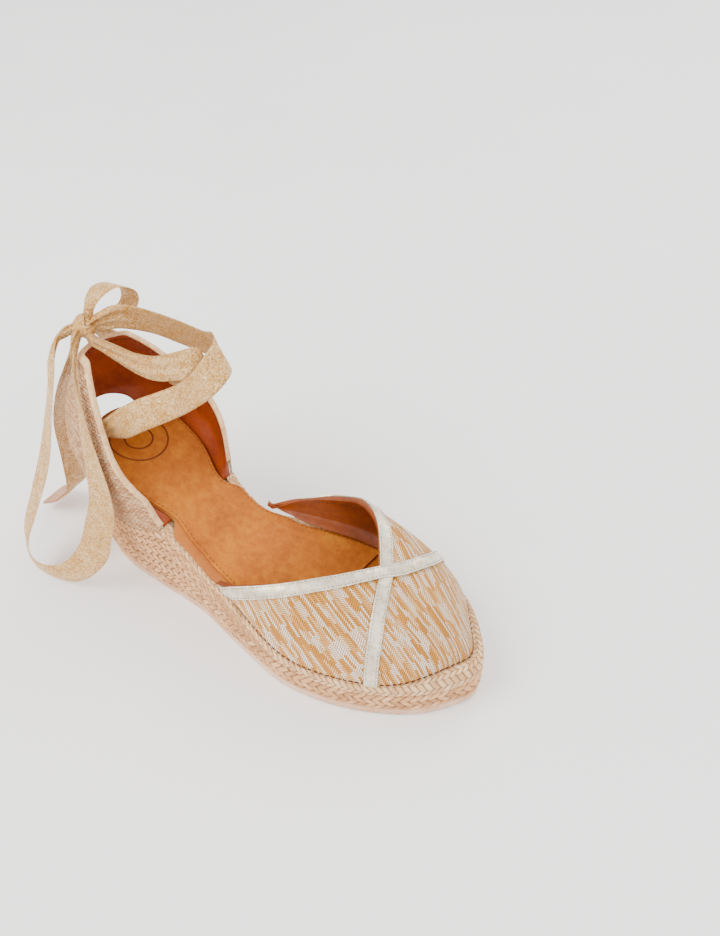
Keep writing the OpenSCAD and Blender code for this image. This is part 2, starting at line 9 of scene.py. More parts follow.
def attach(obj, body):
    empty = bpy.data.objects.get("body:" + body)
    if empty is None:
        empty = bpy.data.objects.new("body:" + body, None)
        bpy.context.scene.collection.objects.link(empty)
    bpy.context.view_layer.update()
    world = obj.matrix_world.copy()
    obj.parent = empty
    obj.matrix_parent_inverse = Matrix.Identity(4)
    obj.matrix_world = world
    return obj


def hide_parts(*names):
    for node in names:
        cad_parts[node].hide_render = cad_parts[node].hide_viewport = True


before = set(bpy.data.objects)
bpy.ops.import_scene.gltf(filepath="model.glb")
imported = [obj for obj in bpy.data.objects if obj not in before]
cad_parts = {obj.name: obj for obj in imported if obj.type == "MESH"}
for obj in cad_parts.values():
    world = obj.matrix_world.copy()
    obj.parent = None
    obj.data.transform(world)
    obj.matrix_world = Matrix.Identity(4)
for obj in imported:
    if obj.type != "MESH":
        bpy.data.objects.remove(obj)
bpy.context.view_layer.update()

MID_X = 125.0  # heel frame to row frame, mm
UV = "cloth"  # UV map in millimetres: along the piece, across the piece

# ---------------------------------------------------------------- shape of the sandal, mm
PLATFORM, RISE, TOE_LIP = 24.0, 55.0, 5.0
SLOPE_FRONT, SLOPE_RUN = 178.0, 148.0
OUTSOLE_T, BRAID_H, EDGE_H = 5.5, 11.5, 6.0
HEEL_WALL, BULGE_Z, CLOTH_LINE, COUNTER_TOP = 8.5, 80.0, 48.0, 134.0
BRAID_W, TOE_R, GAP, CLOTH_T = 5.0, 0.51, 0.12, 1.2
HOLLOW, ARCH_DIP, HUB_IN, COVE, TOE_GUARD = 4.0, 4.5, 1.6, 4.0, 4.6
RAFFIA_T, LINING_FACE, LINING_BACK = 0.9, 1.85, 2.75  # depths under the face of the vamp
COUNTER_LINING_IN, LINING_T, BINDING_DROP = 2.25, 0.9, 2.6
FACE_COVE, BACK_COVE = 0.001, 5.2  # how far the lining's two faces lean in at the foot
BASE_PLAIT = dict(rows=3, pitch=4.6, slope=0.95)
ROW_PLAIT = dict(rows=2, pitch=4.2, slope=0.85)
EDGE_PLAIT = dict(rows=2, pitch=3.4, slope=0.8)
RIBBON_W = 17.0
SOCK_R = (0.31357, -0.29357)  # the sock's front corners on the plan outline
PLAN = np.array([[12, 0], [16, 13], [30, 23.5], [58, 24], [92, 21], [125, 28], [158, 43],
                 [190, 45.5], [219, 36], [238, 17.5], [246, 2], [240, -11.5], [223, -28],
                 [194, -41.5], [162, -46.5], [132, -41], [98, -32.5], [66, -30], [36, -26.5],
                 [17, -16]], float)
TOP_OUTER = np.array([[117, -38.5, 1.6], [125, -41.7, 11.9], [135, -39, 20.7], [145, -35, 28.1],
                      [155, -29.2, 33.8], [165, -21, 37.1], [175, -10.9, 37.7], [186, 4.5, 34.8]])
TOP_INNER = np.array([[186, 4.5, 34.8], [175, 22, 39.7], [165, 31.3, 38.7], [155, 36.3, 33],
                      [145, 37.8, 24.2], [135, 36.5, 16], [125.5, 31.5, 9], [115, 25, 2.8],
                      [106, 20, -3.4]])


def smooth(a, b, x):
    t = np.clip((np.asarray(x, float) - a) / (b - a), 0, 1)
    return t * t * (3 - 2 * t)


def mix(a, b, t):
    return a + (b - a) * t


def unit(v):
    return v / np.maximum(np.linalg.norm(v, axis=-1, keepdims=True), 1e-9)


def vec(*parts):
    return np.stack(np.broadcast_arrays(*parts), axis=-1).astype(float)


def spline(P, s, closed=False):
    n = len(P)
    if closed:
        q = np.asarray(s, float) * n
        i = np.floor(q).astype(int)
        a, b, c, d = [P[(i + k) % n] for k in (-1, 0, 1, 2)]
    else:
        q = np.clip(np.asarray(s, float), 0, 1) * (n - 1)
        i = np.minimum(np.floor(q).astype(int), n - 2)
        a, b, c, d = [P[np.clip(i + k, 0, n - 1)] for k in (-1, 0, 1, 2)]
    t = (q - i)[..., None]
    return 0.5 * (2 * b + (c - a) * t + (2 * a - 5 * b + 4 * c - d) * t * t
                  + (3 * b - a - 3 * c + d) * t ** 3)


def plan(r):
    return spline(PLAN, r, True)


def outward(r):
    d = plan(np.asarray(r) + 0.003) - plan(np.asarray(r) - 0.003)
    return unit(vec(-d[..., 1], d[..., 0]))


def foot_z(x):
    return (PLATFORM + RISE * smooth(0, 1, (SLOPE_FRONT - x) / SLOPE_RUN)
            - HOLLOW * smooth(60, 78, x) * (1 - smooth(104, 122, x)))


def edge_z(x):
    return foot_z(x) + TOE_LIP * smooth(205, 248, x)


def dip(p):
    x = p[..., 0]
    return np.where(p[..., 1] > 0, ARCH_DIP * smooth(82, 96, x) * (1 - smooth(112, 135, x)), 0)


def bed_z(p):
    return foot_z(p[..., 0]) - dip(p)


def rim_z(p):
    return edge_z(p[..., 0]) - dip(p)


def cloth_z(x):
    return CLOTH_LINE + 6 * smooth(40, 80, x)


def counter_z(p):
    x = p[..., 0]
    q = np.maximum(x - 28, 0)
    end = edge_z(x) + 0.8
    outer = mix(COUNTER_TOP - (COUNTER_TOP - 58) * (q / 57) ** 1.4, end, smooth(73, 79.5, x))
    inner = mix(COUNTER_TOP - (COUNTER_TOP - 92) * (q / 50) ** 1.25, end,
                np.clip((x - 78) / 5.8, 0, 1) ** 2.5)
    return np.where(x < 28, COUNTER_TOP - 2 + 2 * smooth(12, 28, x),
                    np.where(p[..., 1] > 0, inner, outer))


def wall(r, z, off):
    r, z, off = np.broadcast_arrays(np.asarray(r, float), np.asarray(z, float), off)
    p, n = plan(r), outward(r)
    x, y = p[..., 0], p[..., 1]
    flare = np.where(z < BULGE_Z, HEEL_WALL * (np.maximum(z, 0) / BULGE_Z) ** 1.2,
                     HEEL_WALL - 0.006 * (z - BULGE_Z) ** 2)
    part = np.where(y < 0, 1 - smooth(58, 84, x), 1 - smooth(66, 92, x))
    lean = ((-2.2 - 2.5 * np.where(y > 0, smooth(90, 104, x), 0)) * smooth(40, 70, x)
            * (1 - smooth(105, 135, x)) * np.minimum(z / 60, 1))
    d = flare * part + off
    return vec(x + n[..., 0] * d, y + n[..., 1] * d + lean, z)


def bed_off(p):
    x = p[..., 0]
    return -BRAID_W - 0.3 - 3.4 * (1 - smooth(78, 96, x)) - TOE_GUARD * smooth(205, 240, x)


def waist(p):
    x = p[..., 0]
    return np.where(p[..., 1] > 0, smooth(84, 92, x) * (1 - smooth(112, 128, x)),
                    smooth(79.8, 88, x) * (1 - smooth(122, 136, x)))


def cover_off(p):
    return mix(bed_off(p), -0.9, waist(p))


def lap(p):
    x = p[..., 0]
    return 1 - np.where(p[..., 1] > 0, smooth(126, 131, x), smooth(134, 139, x))


def vamp_r(u):
    q = (u - 0.5) * 8 / 3
    return np.where(u < 0.5, mix(0.769, TOE_R, u * 2),
                    np.where(q < 1, mix(TOE_R, 0.256, q), mix(0.256, 0.22, (q - 1) * 3)))


def feather(u):
    r = vamp_r(u)
    p = plan(r)
    q = p + outward(r) * (-1 - TOE_GUARD * smooth(212, 244, p[..., 0]))[..., None]
    return vec(q[..., 0], q[..., 1], rim_z(p) + GAP)


def top_line(u):
    p = np.where((u < 0.5)[..., None], spline(TOP_OUTER, u * 2), spline(TOP_INNER, u * 2 - 1))
    return vec(p[..., 0], p[..., 1], foot_z(p[..., 0]) + p[..., 2])


def vamp(u, v):
    u, v = np.broadcast_arrays(np.asarray(u, float), np.asarray(v, float))
    a, b, n = feather(u), top_line(u), outward(vamp_r(u))
    s, w = 1 - np.cos(np.radians(90 * v)), 1.2 * np.sin(np.radians(180 * v))
    return vec(mix(a[..., 0], b[..., 0], s) + n[..., 0] * w,
               mix(a[..., 1], b[..., 1], s) + n[..., 1] * w,
               mix(a[..., 2], b[..., 2], mix(s, np.sin(np.radians(90 * v)), 0.6)))


def vamp_n(u, v):
    e = 0.02
    u, v = np.broadcast_arrays(np.asarray(u, float), np.asarray(v, float))
    du = vamp(np.minimum(u + e, 1), v) - vamp(np.maximum(u - e, 0), v)
    dv = vamp(u, np.minimum(v + e, 1)) - vamp(u, np.maximum(v - e, 0))
    return unit(np.cross(du, dv))


def vamp_off(u, v, d):
    q = vamp(u, v) + vamp_n(u, v) * np.asarray(d, float)[..., None]
    q[..., 2] = np.maximum(q[..., 2], feather(np.broadcast_to(u, q.shape[:-1]))[..., 2])
    return q


# ---------------------------------------------------------------- meshes
def build(name, points, faces, uv=None):
    """A mesh object from points in the heel frame (mm) and faces, with the UV map in mm."""
    me = bpy.data.meshes.new(name)
    me.from_pydata((np.asarray(points, float) - [MID_X, 0, 0]) / 1000, [], faces)
    if uv is not None:
        layer = me.uv_layers.new(name=UV)
        index = np.empty(len(me.loops), int)
        me.loops.foreach_get("vertex_index", index)
        layer.data.foreach_set("uv", np.asarray(uv, np.float32)[index].ravel())
    me.validate()
    bm = bmesh.new()
    bm.from_mesh(me)
    bmesh.ops.remove_doubles(bm, verts=bm.verts, dist=1e-6)
    bmesh.ops.recalc_face_normals(bm, faces=bm.faces)
    bm.to_mesh(me)
    bm.free()
    me.polygons.foreach_set("use_smooth", [True] * len(me.polygons))
    ob = bpy.data.objects.new(name, me)
    bpy.context.scene.collection.objects.link(ob)
    return ob


def quads(m, n, keep=None, base=0):
    i, j = np.meshgrid(np.arange(m - 1), np.arange(n - 1), indexing="ij")
    if keep is not None:
        i, j = i[keep], j[keep]
    a = (i * n + j + base).ravel()
    return np.stack([a, a + n, a + n + 1, a + 1], 1)


def sides(m, n):
    """Faces between m closed rings of n points."""
    i, k = np.arange(n), np.arange(m - 1)[:, None] * n
    a, b = i + k, (i + 1) % n + k
    return np.stack([a, b, b + n, a + n], -1).reshape(-1, 4).tolist()


def across(n, base=0):
    """Faces over a ring of n points whose ends pair up across the foot."""
    i = base + np.arange(n // 2 - 1)
    j = base + n - 1 - np.arange(n // 2 - 1)
    return np.stack([i, i + 1, j - 1, j], 1).tolist()


def skin(name, P, uv, caps=True):
    """Sections P[m][n] of a closed outline; the first point is repeated at the end of a section."""
    m, n = P.shape[:2]
    faces = quads(m, n).tolist()
    if caps:
        faces += [list(range(n - 1)), [(m - 1) * n + k for k in range(n - 1)]]
    return build(name, P.reshape(-1, 3), faces, uv.reshape(-1, 2))


def shell(name, A, B, uv, keep=None):
    """Closed shell between two grids of points, with walls wherever a kept cell ends."""
    m, n = A.shape[:2]
    if keep is None:
        keep = np.ones((m - 1, n - 1), bool)
    k = np.pad(keep, 1)
    i, j = np.nonzero(keep)
    idx = lambda a, b: a * n + b
    off = m * n
    faces = [quads(m, n, keep), quads(m, n, keep, off)]
    for di, dj, p, q in ((-1, 0, (0, 0), (0, 1)), (1, 0, (1, 0), (1, 1)),
                         (0, -1, (0, 0), (1, 0)), (0, 1, (0, 1), (1, 1))):
        e = ~k[i + 1 + di, j + 1 + dj]
        a, b = idx(i[e] + p[0], j[e] + p[1]), idx(i[e] + q[0], j[e] + q[1])
        faces.append(np.stack([a, b, b + off, a + off], 1))
    used = np.concatenate(faces)
    pts = np.concatenate([A.reshape(-1, 3), B.reshape(-1, 3)])
    w = np.concatenate([uv.reshape(-1, 2)] * 2)
    ids, inv = np.unique(used, return_inverse=True)
    return build(name, pts[ids], inv.reshape(used.shape).tolist(), w[ids])


def lengths(P):
    """Running length along the first axis of a row of points."""
    return np.concatenate([[0], np.cumsum(np.linalg.norm(np.diff(P, axis=0), axis=1))])


def stitches(name, P, N, pitch, size, thick):
    """Thread stitches along a line of points P with normals N: one small rounded bar each."""
    L = lengths(P)
    T = unit(np.gradient(P, axis=0))
    pts, faces = [], []
    ring = 6
    for s in np.arange(pitch * 0.6, L[-1] - size, pitch):
        c, t, m = [unit(np.array([np.interp(s, L, F[:, k]) for k in range(3)])) if F is not P
                   else np.array([np.interp(s, L, P[:, k]) for k in range(3)]) for F in (P, T, N)]
        w = np.cross(t, m)
        base = len(pts)
        for f, g in ((-0.5, 0.25), (-0.32, 0.9), (0.0, 1.0), (0.32, 0.9), (0.5, 0.25)):
            for k in range(ring):
                a = 2 * math.pi * k / ring
                lift = thick * (0.35 if g > 0.5 else -0.1)
                pts.append(c + t * f * size + w * math.cos(a) * thick * g / 2
                           + m * (lift + math.sin(a) * thick * g / 2))
        for q in range(4):
            for k in range(ring):
                a, b = base + q * ring + k, base + q * ring + (k + 1) % ring
                faces.append([a, b, b + ring, a + ring])
        faces.append([base + k for k in range(ring)])
        faces.append([base + 4 * ring + k for k in range(ring)])
    return build(name, np.array(pts), faces)


# ---------------------------------------------------------------- materials
def maths(op):
    """A Shade method for one operation of the Math node."""
    return lambda self, *values: self.calc(op, *values)


class Shade:
    """A Principled material written as expressions."""

    def __init__(self, name, **fixed):
        self.mat = bpy.data.materials.new(name)
        self.mat.use_nodes = True
        self.tree = self.mat.node_tree
        self.bsdf = self.tree.nodes["Principled BSDF"]
        for key, value in fixed.items():
            self.bsdf.inputs[key.replace("_", " ")].default_value = value

    def put(self, socket, value):
        if hasattr(value, "links"):
            self.tree.links.new(value, socket)
        elif value is not None:
            socket.default_value = value

    def node(self, kind, out=0, props=(), **inputs):
        n = self.tree.nodes.new("ShaderNode" + kind)
        for key, value in dict(props).items():
            setattr(n, key, value)
        for key, value in inputs.items():
            self.put(n.inputs[key.replace("_", " ")], value)
        return n.outputs[out]

    def calc(self, op, *values):
        n = self.tree.nodes.new("ShaderNodeMath")
        n.operation = op
        for socket, value in zip(n.inputs, values):
            self.put(socket, value)
        return n.outputs[0]

    add, sub, mul, div = map(maths, ("ADD", "SUBTRACT", "MULTIPLY", "DIVIDE"))
    power, floor, fract, sine, absolute = map(
        maths, ("POWER", "FLOOR", "FRACT", "SINE", "ABSOLUTE"))

    def uv(self):
        n = self.node("SeparateXYZ", Vector=self.node("UVMap", props={"uv_map": UV})).node
        return n.outputs[0], n.outputs[1]

    def place(self):
        return self.node("TexCoord", out="Object")

    def xyz(self, x, y, z=0.0):
        return self.node("CombineXYZ", X=x, Y=y, Z=z)

    def noise(self, where, scale, detail=3.0, rough=0.55):
        return self.node("TexNoise", Vector=where, Scale=scale, Detail=detail, Roughness=rough)

    def scaled(self, where, factor):
        n = self.tree.nodes.new("ShaderNodeVectorMath")
        n.operation = "MULTIPLY"
        self.put(n.inputs[0], where)
        n.inputs[1].default_value = factor
        return n.outputs[0]

    def random(self, *parts):
        return self.node("TexWhiteNoise", Vector=self.xyz(*parts))

    def cells(self, where, scale, out="Distance"):
        return self.node("TexVoronoi", out=out, Vector=where, Scale=scale)

    def ramp(self, fac, *stops, interp="LINEAR"):
        n = self.tree.nodes.new("ShaderNodeValToRGB")
        n.color_ramp.interpolation = interp
        el = n.color_ramp.elements
        while len(el) < len(stops):
            el.new(0.5)
        for e, (at, colour) in zip(el, stops):
            e.position = at
            e.color = (*colour, 1)
        self.put(n.inputs[0], fac)
        return n.outputs[0]

    def blend(self, fac, a, b):
        n = self.tree.nodes.new("ShaderNodeMix")
        n.data_type = "RGBA"
        self.put(n.inputs[0], fac)
        for socket, value in ((n.inputs[6], a), (n.inputs[7], b)):
            self.put(socket, (*value, 1) if isinstance(value, tuple) else value)
        return n.outputs[2]

    def scale_to(self, value, low, high, to_low=0.0, to_high=1.0):
        n = self.tree.nodes.new("ShaderNodeMapRange")
        self.put(n.inputs[0], value)
        for k, v in enumerate((low, high, to_low, to_high)):
            n.inputs[k + 1].default_value = v
        return n.outputs[0]

    def finish(self, colour, rough, bumps=(), metallic=None, rich=1.3, value=0.9, hue=0.5):
        """Wires the shader. Each bump is a height and its depth; hue 0.5 leaves the hue alone."""
        tone = self.node("HueSaturation", Color=colour, Hue=hue, Saturation=rich, Value=value)
        self.put(self.bsdf.inputs["Base Color"], tone)
        self.put(self.bsdf.inputs["Roughness"], rough)
        self.put(self.bsdf.inputs["Metallic"], metallic)
        last = None
        for height, depth in bumps:
            n = self.tree.nodes.new("ShaderNodeBump")
            n.inputs["Distance"].default_value = depth
            self.put(n.inputs["Height"], height)
            if last is not None:
                self.tree.links.new(last, n.inputs["Normal"])
            last = n.outputs[0]
        if last is not None:
            self.tree.links.new(last, self.bsdf.inputs["Normal"])
        return self.mat


MM = 0.001


def hex3(text):
    """A display colour to the linear values that the shader works in."""
    out = []
    for k in (0, 2, 4):
        c = int(text[k:k + 2], 16) / 255
        out.append(c / 12.92 if c < 0.04045 else ((c + 0.055) / 1.055) ** 2.4)
    return tuple(out)


def jute(name, tones, rows=0, pitch=0.0, slope=0.0, height=1.0):
    """Jute, plaited as the mesh is shaped where rows are given, with painted shade in the grooves
    between strands, and a plain cord where not.
    """
    s = Shade(name, Sheen_Weight=0.08, Sheen_Roughness=0.6)
    u, v = s.uv()
    if rows:
        t = s.mul(v, rows / height)
        row, f = s.floor(t), s.fract(t)
        lean = s.sub(s.mul(s.calc("MODULO", row, 2.0), 2.0), 1.0)
        phase = s.add(s.div(u, pitch), s.mul(lean, s.mul(f, slope)))
        body = s.absolute(s.calc("COSINE", s.mul(phase, math.pi)))
        strand = s.floor(s.add(phase, 0.5))
        fibre = s.xyz(s.mul(phase, 6.0), s.mul(f, 1.3), s.add(strand, s.mul(row, 7.0)))
        # painted shade: this mask falls in the grooves between strands and at the edges of each
        # row, and there the colour goes to the fourth tone
        dark = s.scale_to(s.mul(body, s.power(s.sine(s.mul(f, math.pi)), 0.35)), 0.05, 0.5)
        tone = s.random(strand, row, 1.0)
    else:
        fibre = s.xyz(s.mul(u, 0.25), s.mul(v, 3.5))
        dark = 1.0
        tone = s.noise(s.xyz(u, v), 0.35)
    streak = s.noise(fibre, 1.6, 6.0, 0.7)
    fuzz = s.noise(s.place(), 900.0, 4.0, 0.7)
    mottle = s.add(s.mul(streak, 0.75), s.mul(s.sub(tone, 0.5), 0.22))
    colour = s.ramp(mottle, (0.22, tones[0]), (0.42, tones[1]), (0.62, tones[2]))
    colour = s.blend(s.scale_to(fuzz, 0.3, 0.7, 0.0, 0.25), colour, tones[2])
    blotch = s.noise(s.scaled(s.place(), (1.0, 1.0, 2.6)), 70.0, 5.0, 0.7)
    colour = s.blend(s.scale_to(blotch, 0.52, 0.72, 0.0, 0.55), colour, tones[0])
    # painted shade in the grooves between the strands
    if rows:
        colour = s.blend(dark, tones[3], colour)
    return s.finish(colour, s.scale_to(streak, 0.3, 0.7, 0.95, 0.8),
                    [(streak, 0.35 * MM), (fuzz, 0.15 * MM)], **JUTE_GRADE)


# dark, middle and light fibres, and the shade between strands
JUTE = [hex3(tone) for tone in ("A36E42", "D9A876", "F2D0A4", "6E4524")]
PALE = [hex3(tone) for tone in ("B98A5A", "E6C08F", "FAE2BC", "8A6038")]
JUTE_GRADE = dict(rich=1.08, value=1.06, hue=0.495)


def leather(name, base, dark, light, rough=0.5, grain=1300.0, value=0.9):
    s = Shade(name)
    p = s.place()
    big, small = s.noise(p, 45.0, 5.0), s.noise(p, 260.0, 4.0)
    pore = s.cells(p, grain)
    colour = s.blend(s.scale_to(big, 0.35, 0.7), dark, base)
    colour = s.blend(s.scale_to(small, 0.45, 0.75, 0.0, 0.35), colour, light)
    crease = s.noise(s.scaled(p, (1.0, 2.6, 2.6)), 95.0, 6.0, 0.65)
    return s.finish(colour, s.scale_to(small, 0.3, 0.7, rough + 0.1, rough - 0.05),
                    [(pore, 0.09 * MM), (crease, 0.35 * MM)], value=value)


def suede():
    s = Shade("sock_suede", Sheen_Weight=0.06, Sheen_Roughness=0.5)
    p = s.place()
    cloud, nap = s.noise(p, 42.0, 4.0, 0.6), s.noise(p, 240.0, 5.0, 0.7)
    hair = s.noise(s.scaled(p, (1.0, 2.2, 2.0)), 1500.0, 3.0, 0.7)
    wear = s.noise(s.scaled(p, (0.8, 1.5, 1.0)), 75.0, 3.0)
    value = s.add(s.mul(cloud, 0.5), s.mul(nap, 0.5))
    colour = s.ramp(value, (0.3, hex3("8A3C0E")), (0.48, hex3("B45C1C")), (0.64, hex3("D08036")))
    colour = s.blend(s.scale_to(hair, 0.25, 0.75, 0.0, 0.35), colour, hex3("DE9A54"))
    colour = s.blend(s.scale_to(wear, 0.62, 0.8, 0.0, 0.35), colour, hex3("E2A27A"))
    return s.finish(colour, s.scale_to(nap, 0.3, 0.7, 1.0, 0.85),
                    [(nap, 0.5 * MM), (hair, 0.3 * MM)])


def raffia():
    """Splints laid in diagonal columns, each column woven into a chevron, with painted shade where
    the splints dip and at their sides.
    """
    s = Shade("raffia", Sheen_Weight=0.05, Specular_IOR_Level=0.45)
    u, v = s.uv()  # u runs heel to toe, v across the foot
    turn, splint_w, splint_l, column_w, weft_w = math.radians(-23), 1.15, 10.0, 9.2, 1.6
    x = s.add(s.mul(u, math.cos(turn)), s.mul(v, math.sin(turn)))
    y = s.sub(s.mul(v, math.cos(turn)), s.mul(u, math.sin(turn)))
    wobble = s.mul(s.noise(s.xyz(s.mul(x, 0.04), s.mul(y, 0.04)), 1.0, 1.0), 2.5)
    across = s.add(y, wobble)
    rib = s.div(across, splint_w)
    band = s.floor(rib)
    run = s.add(x, s.mul(s.random(band, 3.0, 0.0), 17.0))
    piece = s.floor(s.div(run, splint_l))
    pick = s.random(band, piece, 5.0)
    zigzag = s.absolute(s.sub(s.mul(s.fract(s.div(across, column_w)), 2.0), 1.0))
    weft = s.fract(s.add(s.div(x, weft_w), s.mul(zigzag, 3.0)))
    over = s.sine(s.mul(weft, math.pi))
    warp = s.sine(s.mul(s.fract(rib), math.pi))
    colour = s.ramp(pick, (0.0, hex3("FFF4E4")), (0.2, hex3("F2CFA0")), (0.38, hex3("DDA464")),
                    (0.52, hex3("FFEAD0")), (0.68, hex3("CC985C")), (0.84, hex3("EDBE86")),
                    interp="CONSTANT")
    fine = s.noise(s.xyz(s.mul(x, 0.5), s.mul(y, 4.0)), 1.5, 4.0)
    colour = s.blend(s.scale_to(fine, 0.35, 0.7, 0.0, 0.35), colour, hex3("D8A866"))
    # painted shade: the splints darken to brown where they dip under the weft and towards their
    # sides
    weave_shade_mask = s.mul(s.scale_to(over, 0.1, 0.6), s.scale_to(warp, 0.0, 0.45, 0.35, 1.0))
    colour = s.blend(weave_shade_mask, hex3("8A6238"), colour)
    high = s.mul(s.power(over, 0.5), s.power(warp, 0.4))
    return s.finish(colour, s.scale_to(pick, 0.0, 1.0, 0.45, 0.7),
                    [(high, 0.6 * MM), (fine, 0.12 * MM)], rich=1.2, value=1.08, hue=0.492)


def knit():
    """Jute cloth with rows of V stitches running round the counter, with painted shade between the
    stitches.
    """
    s = Shade("counter_knit", Sheen_Weight=0.08, Sheen_Roughness=0.6)
    u, v = s.uv()
    row_h, stitch_w = 3.1, 2.3
    row = s.div(v, row_h)
    f = s.fract(row)
    bend = s.absolute(s.sub(s.mul(f, 2.0), 1.0))
    phase = s.add(s.div(u, stitch_w), s.mul(bend, 0.8))
    loop = s.sine(s.mul(s.fract(phase), math.pi))
    rib = s.sine(s.mul(s.fract(s.mul(row, 2.0)), math.pi))
    high = s.mul(s.power(loop, 0.6), s.power(rib, 0.5))
    fuzz = s.noise(s.place(), 800.0, 4.0, 0.7)
    tone = s.random(s.floor(phase), s.floor(s.mul(row, 2.0)), 2.0)
    colour = s.ramp(s.add(s.mul(fuzz, 0.7), s.mul(tone, 0.3)),
                    (0.25, JUTE[0]), (0.48, JUTE[1]), (0.7, JUTE[2]))
    blotch = s.noise(s.xyz(s.mul(u, 0.05), s.mul(v, 0.45)), 1.0, 5.0, 0.7)
    colour = s.blend(s.scale_to(blotch, 0.5, 0.7, 0.0, 0.6), colour, JUTE[0])
    # painted shade: the colour darkens to the fourth jute tone between the stitch loops and between
    # the rows
    colour = s.blend(s.scale_to(high, 0.05, 0.5), JUTE[3], colour)
    return s.finish(colour, 0.9, [(high, 0.9 * MM), (fuzz, 0.15 * MM)], **JUTE_GRADE)


def ribbon_cloth():
    """Twill with a lame thread: each cell of the grit has its own shine, set in its metal and
    roughness and also painted into its colour as a glint.
    """
    s = Shade("gold_ribbon", Sheen_Weight=0.05, Sheen_Roughness=0.4, Anisotropic=0.3)
    u, v = s.uv()
    twill = s.sine(s.mul(s.add(u, v), 7.5))
    warp = s.sine(s.mul(v, 14.0))
    grit = s.xyz(u, v)
    shine = s.node("SeparateColor", Color=s.cells(grit, 1.5, out="Color"))
    cloud = s.noise(grit, 0.12, 3.0)
    colour = s.ramp(cloud, (0.35, hex3("D9AE66")), (0.65, hex3("EDCB8E")))
    # painted glints: the shiniest cells of the grit are lightened toward near white, and the
    # dullest cells are darker
    colour = s.blend(s.scale_to(shine, 0.55, 1.0, 0.0, 0.8), colour, hex3("FFEDC4"))
    colour = s.blend(s.scale_to(shine, 0.0, 0.4, 0.6, 0.0), colour, hex3("9A7236"))
    edge = s.noise(grit, 1.2, 4.0)
    return s.finish(colour, s.scale_to(shine, 0.0, 1.0, 0.62, 0.3),
                    [(twill, 0.05 * MM), (warp, 0.04 * MM), (shine, 0.12 * MM), (edge, 0.12 * MM)],
                    metallic=s.scale_to(shine, 0.5, 1.0, 0.25, 0.75), rich=1.15, hue=0.486)


def rubber():
    s = Shade("outsole_rubber", Specular_IOR_Level=0.35)
    p = s.place()
    spot, fine = s.noise(p, 55.0, 4.0), s.noise(p, 900.0, 4.0)
    colour = s.ramp(spot, (0.35, hex3("DDB79C")), (0.6, hex3("F0D3BF")))
    colour = s.blend(s.scale_to(fine, 0.6, 0.8, 0.0, 0.3), colour, hex3("BFA18D"))
    return s.finish(colour, s.scale_to(spot, 0.3, 0.7, 0.75, 0.6), [(fine, 0.12 * MM)])


def silver():
    s = Shade("silver_leather", Metallic=0.7, Coat_Weight=0.15, Coat_Roughness=0.3)
    p = s.place()
    crease, grain = s.noise(p, 330.0, 6.0, 0.65), s.cells(p, 1700.0)
    # painted shade: the colour is darker where the crease relief is low, in the creases
    colour = s.blend(s.scale_to(crease, 0.35, 0.65), hex3("CFC3AC"), hex3("F8F1E2"))
    return s.finish(colour, s.scale_to(crease, 0.3, 0.7, 0.42, 0.26),
                    [(crease, 0.16 * MM), (grain, 0.05 * MM)])


def plain(name, tint, scale=500.0, detail=5.0, shade=0.8, rough=0.85, depth=0.15):
    """One colour, mottled down to a darker shade of it."""
    s = Shade(name)
    n = s.noise(s.place(), scale, detail)
    return s.finish(s.blend(s.scale_to(n, 0.35, 0.65), tuple(c * shade for c in tint), tint), rough,
                    [(n, depth * MM)])


THREAD = dict(scale=2500.0, detail=3.0, shade=0.7, rough=0.7, depth=0.1)
M_BRAID = jute("jute_base_braid", JUTE, **BASE_PLAIT, height=BRAID_H)
M_ROW = jute("jute_rows", JUTE, **ROW_PLAIT)
M_EDGE = jute("jute_edge", PALE, **EDGE_PLAIT)
M_CORD = jute("edge_cord", PALE)
M_KNIT = knit()
M_RAFFIA = raffia()
M_SUEDE = suede()
M_ORANGE = leather("orange_leather", hex3("E0801A"), hex3("C8660C"), hex3("EA9230"), 0.6, 1400.0,
                   value=0.6)
M_LINING = leather("lining_leather", hex3("A8440E"), hex3("863008"), hex3("C2602A"), 0.52)
M_VAMP_LINING = leather("vamp_lining_leather", hex3("A04A0E"), hex3("7E3606"), hex3("B45E1C"), 0.55,
                        value=0.75)
M_TIP = leather("tip_leather", hex3("C9A18C"), hex3("A97F69"), hex3("DCB8A4"), 0.5, 1500.0)
M_SILVER = silver()
M_RIBBON = ribbon_cloth()
M_RUBBER = rubber()
M_BROWN = plain("brown_thread", hex3("5A2C12"), **THREAD)
M_GREY = plain("grey_thread", hex3("9C968E"), **THREAD)
M_WHITE = plain("white_thread", hex3("F4EEE2"), **THREAD)
M_PRINT = plain("emblem_print", hex3("7A3A14"), 900.0)
M_FELT = plain("white_felt", hex3("E8E2D4"))
M_CORE = plain("core_foam", hex3("CBB79C"))
M_BOARD = plain("insole_board", hex3("9C835F"))


def done(ob, material, body="shoe", nodes=()):
    ob.data.materials.append(material)
    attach(ob, body)
    if nodes:
        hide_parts(*nodes)
    return ob


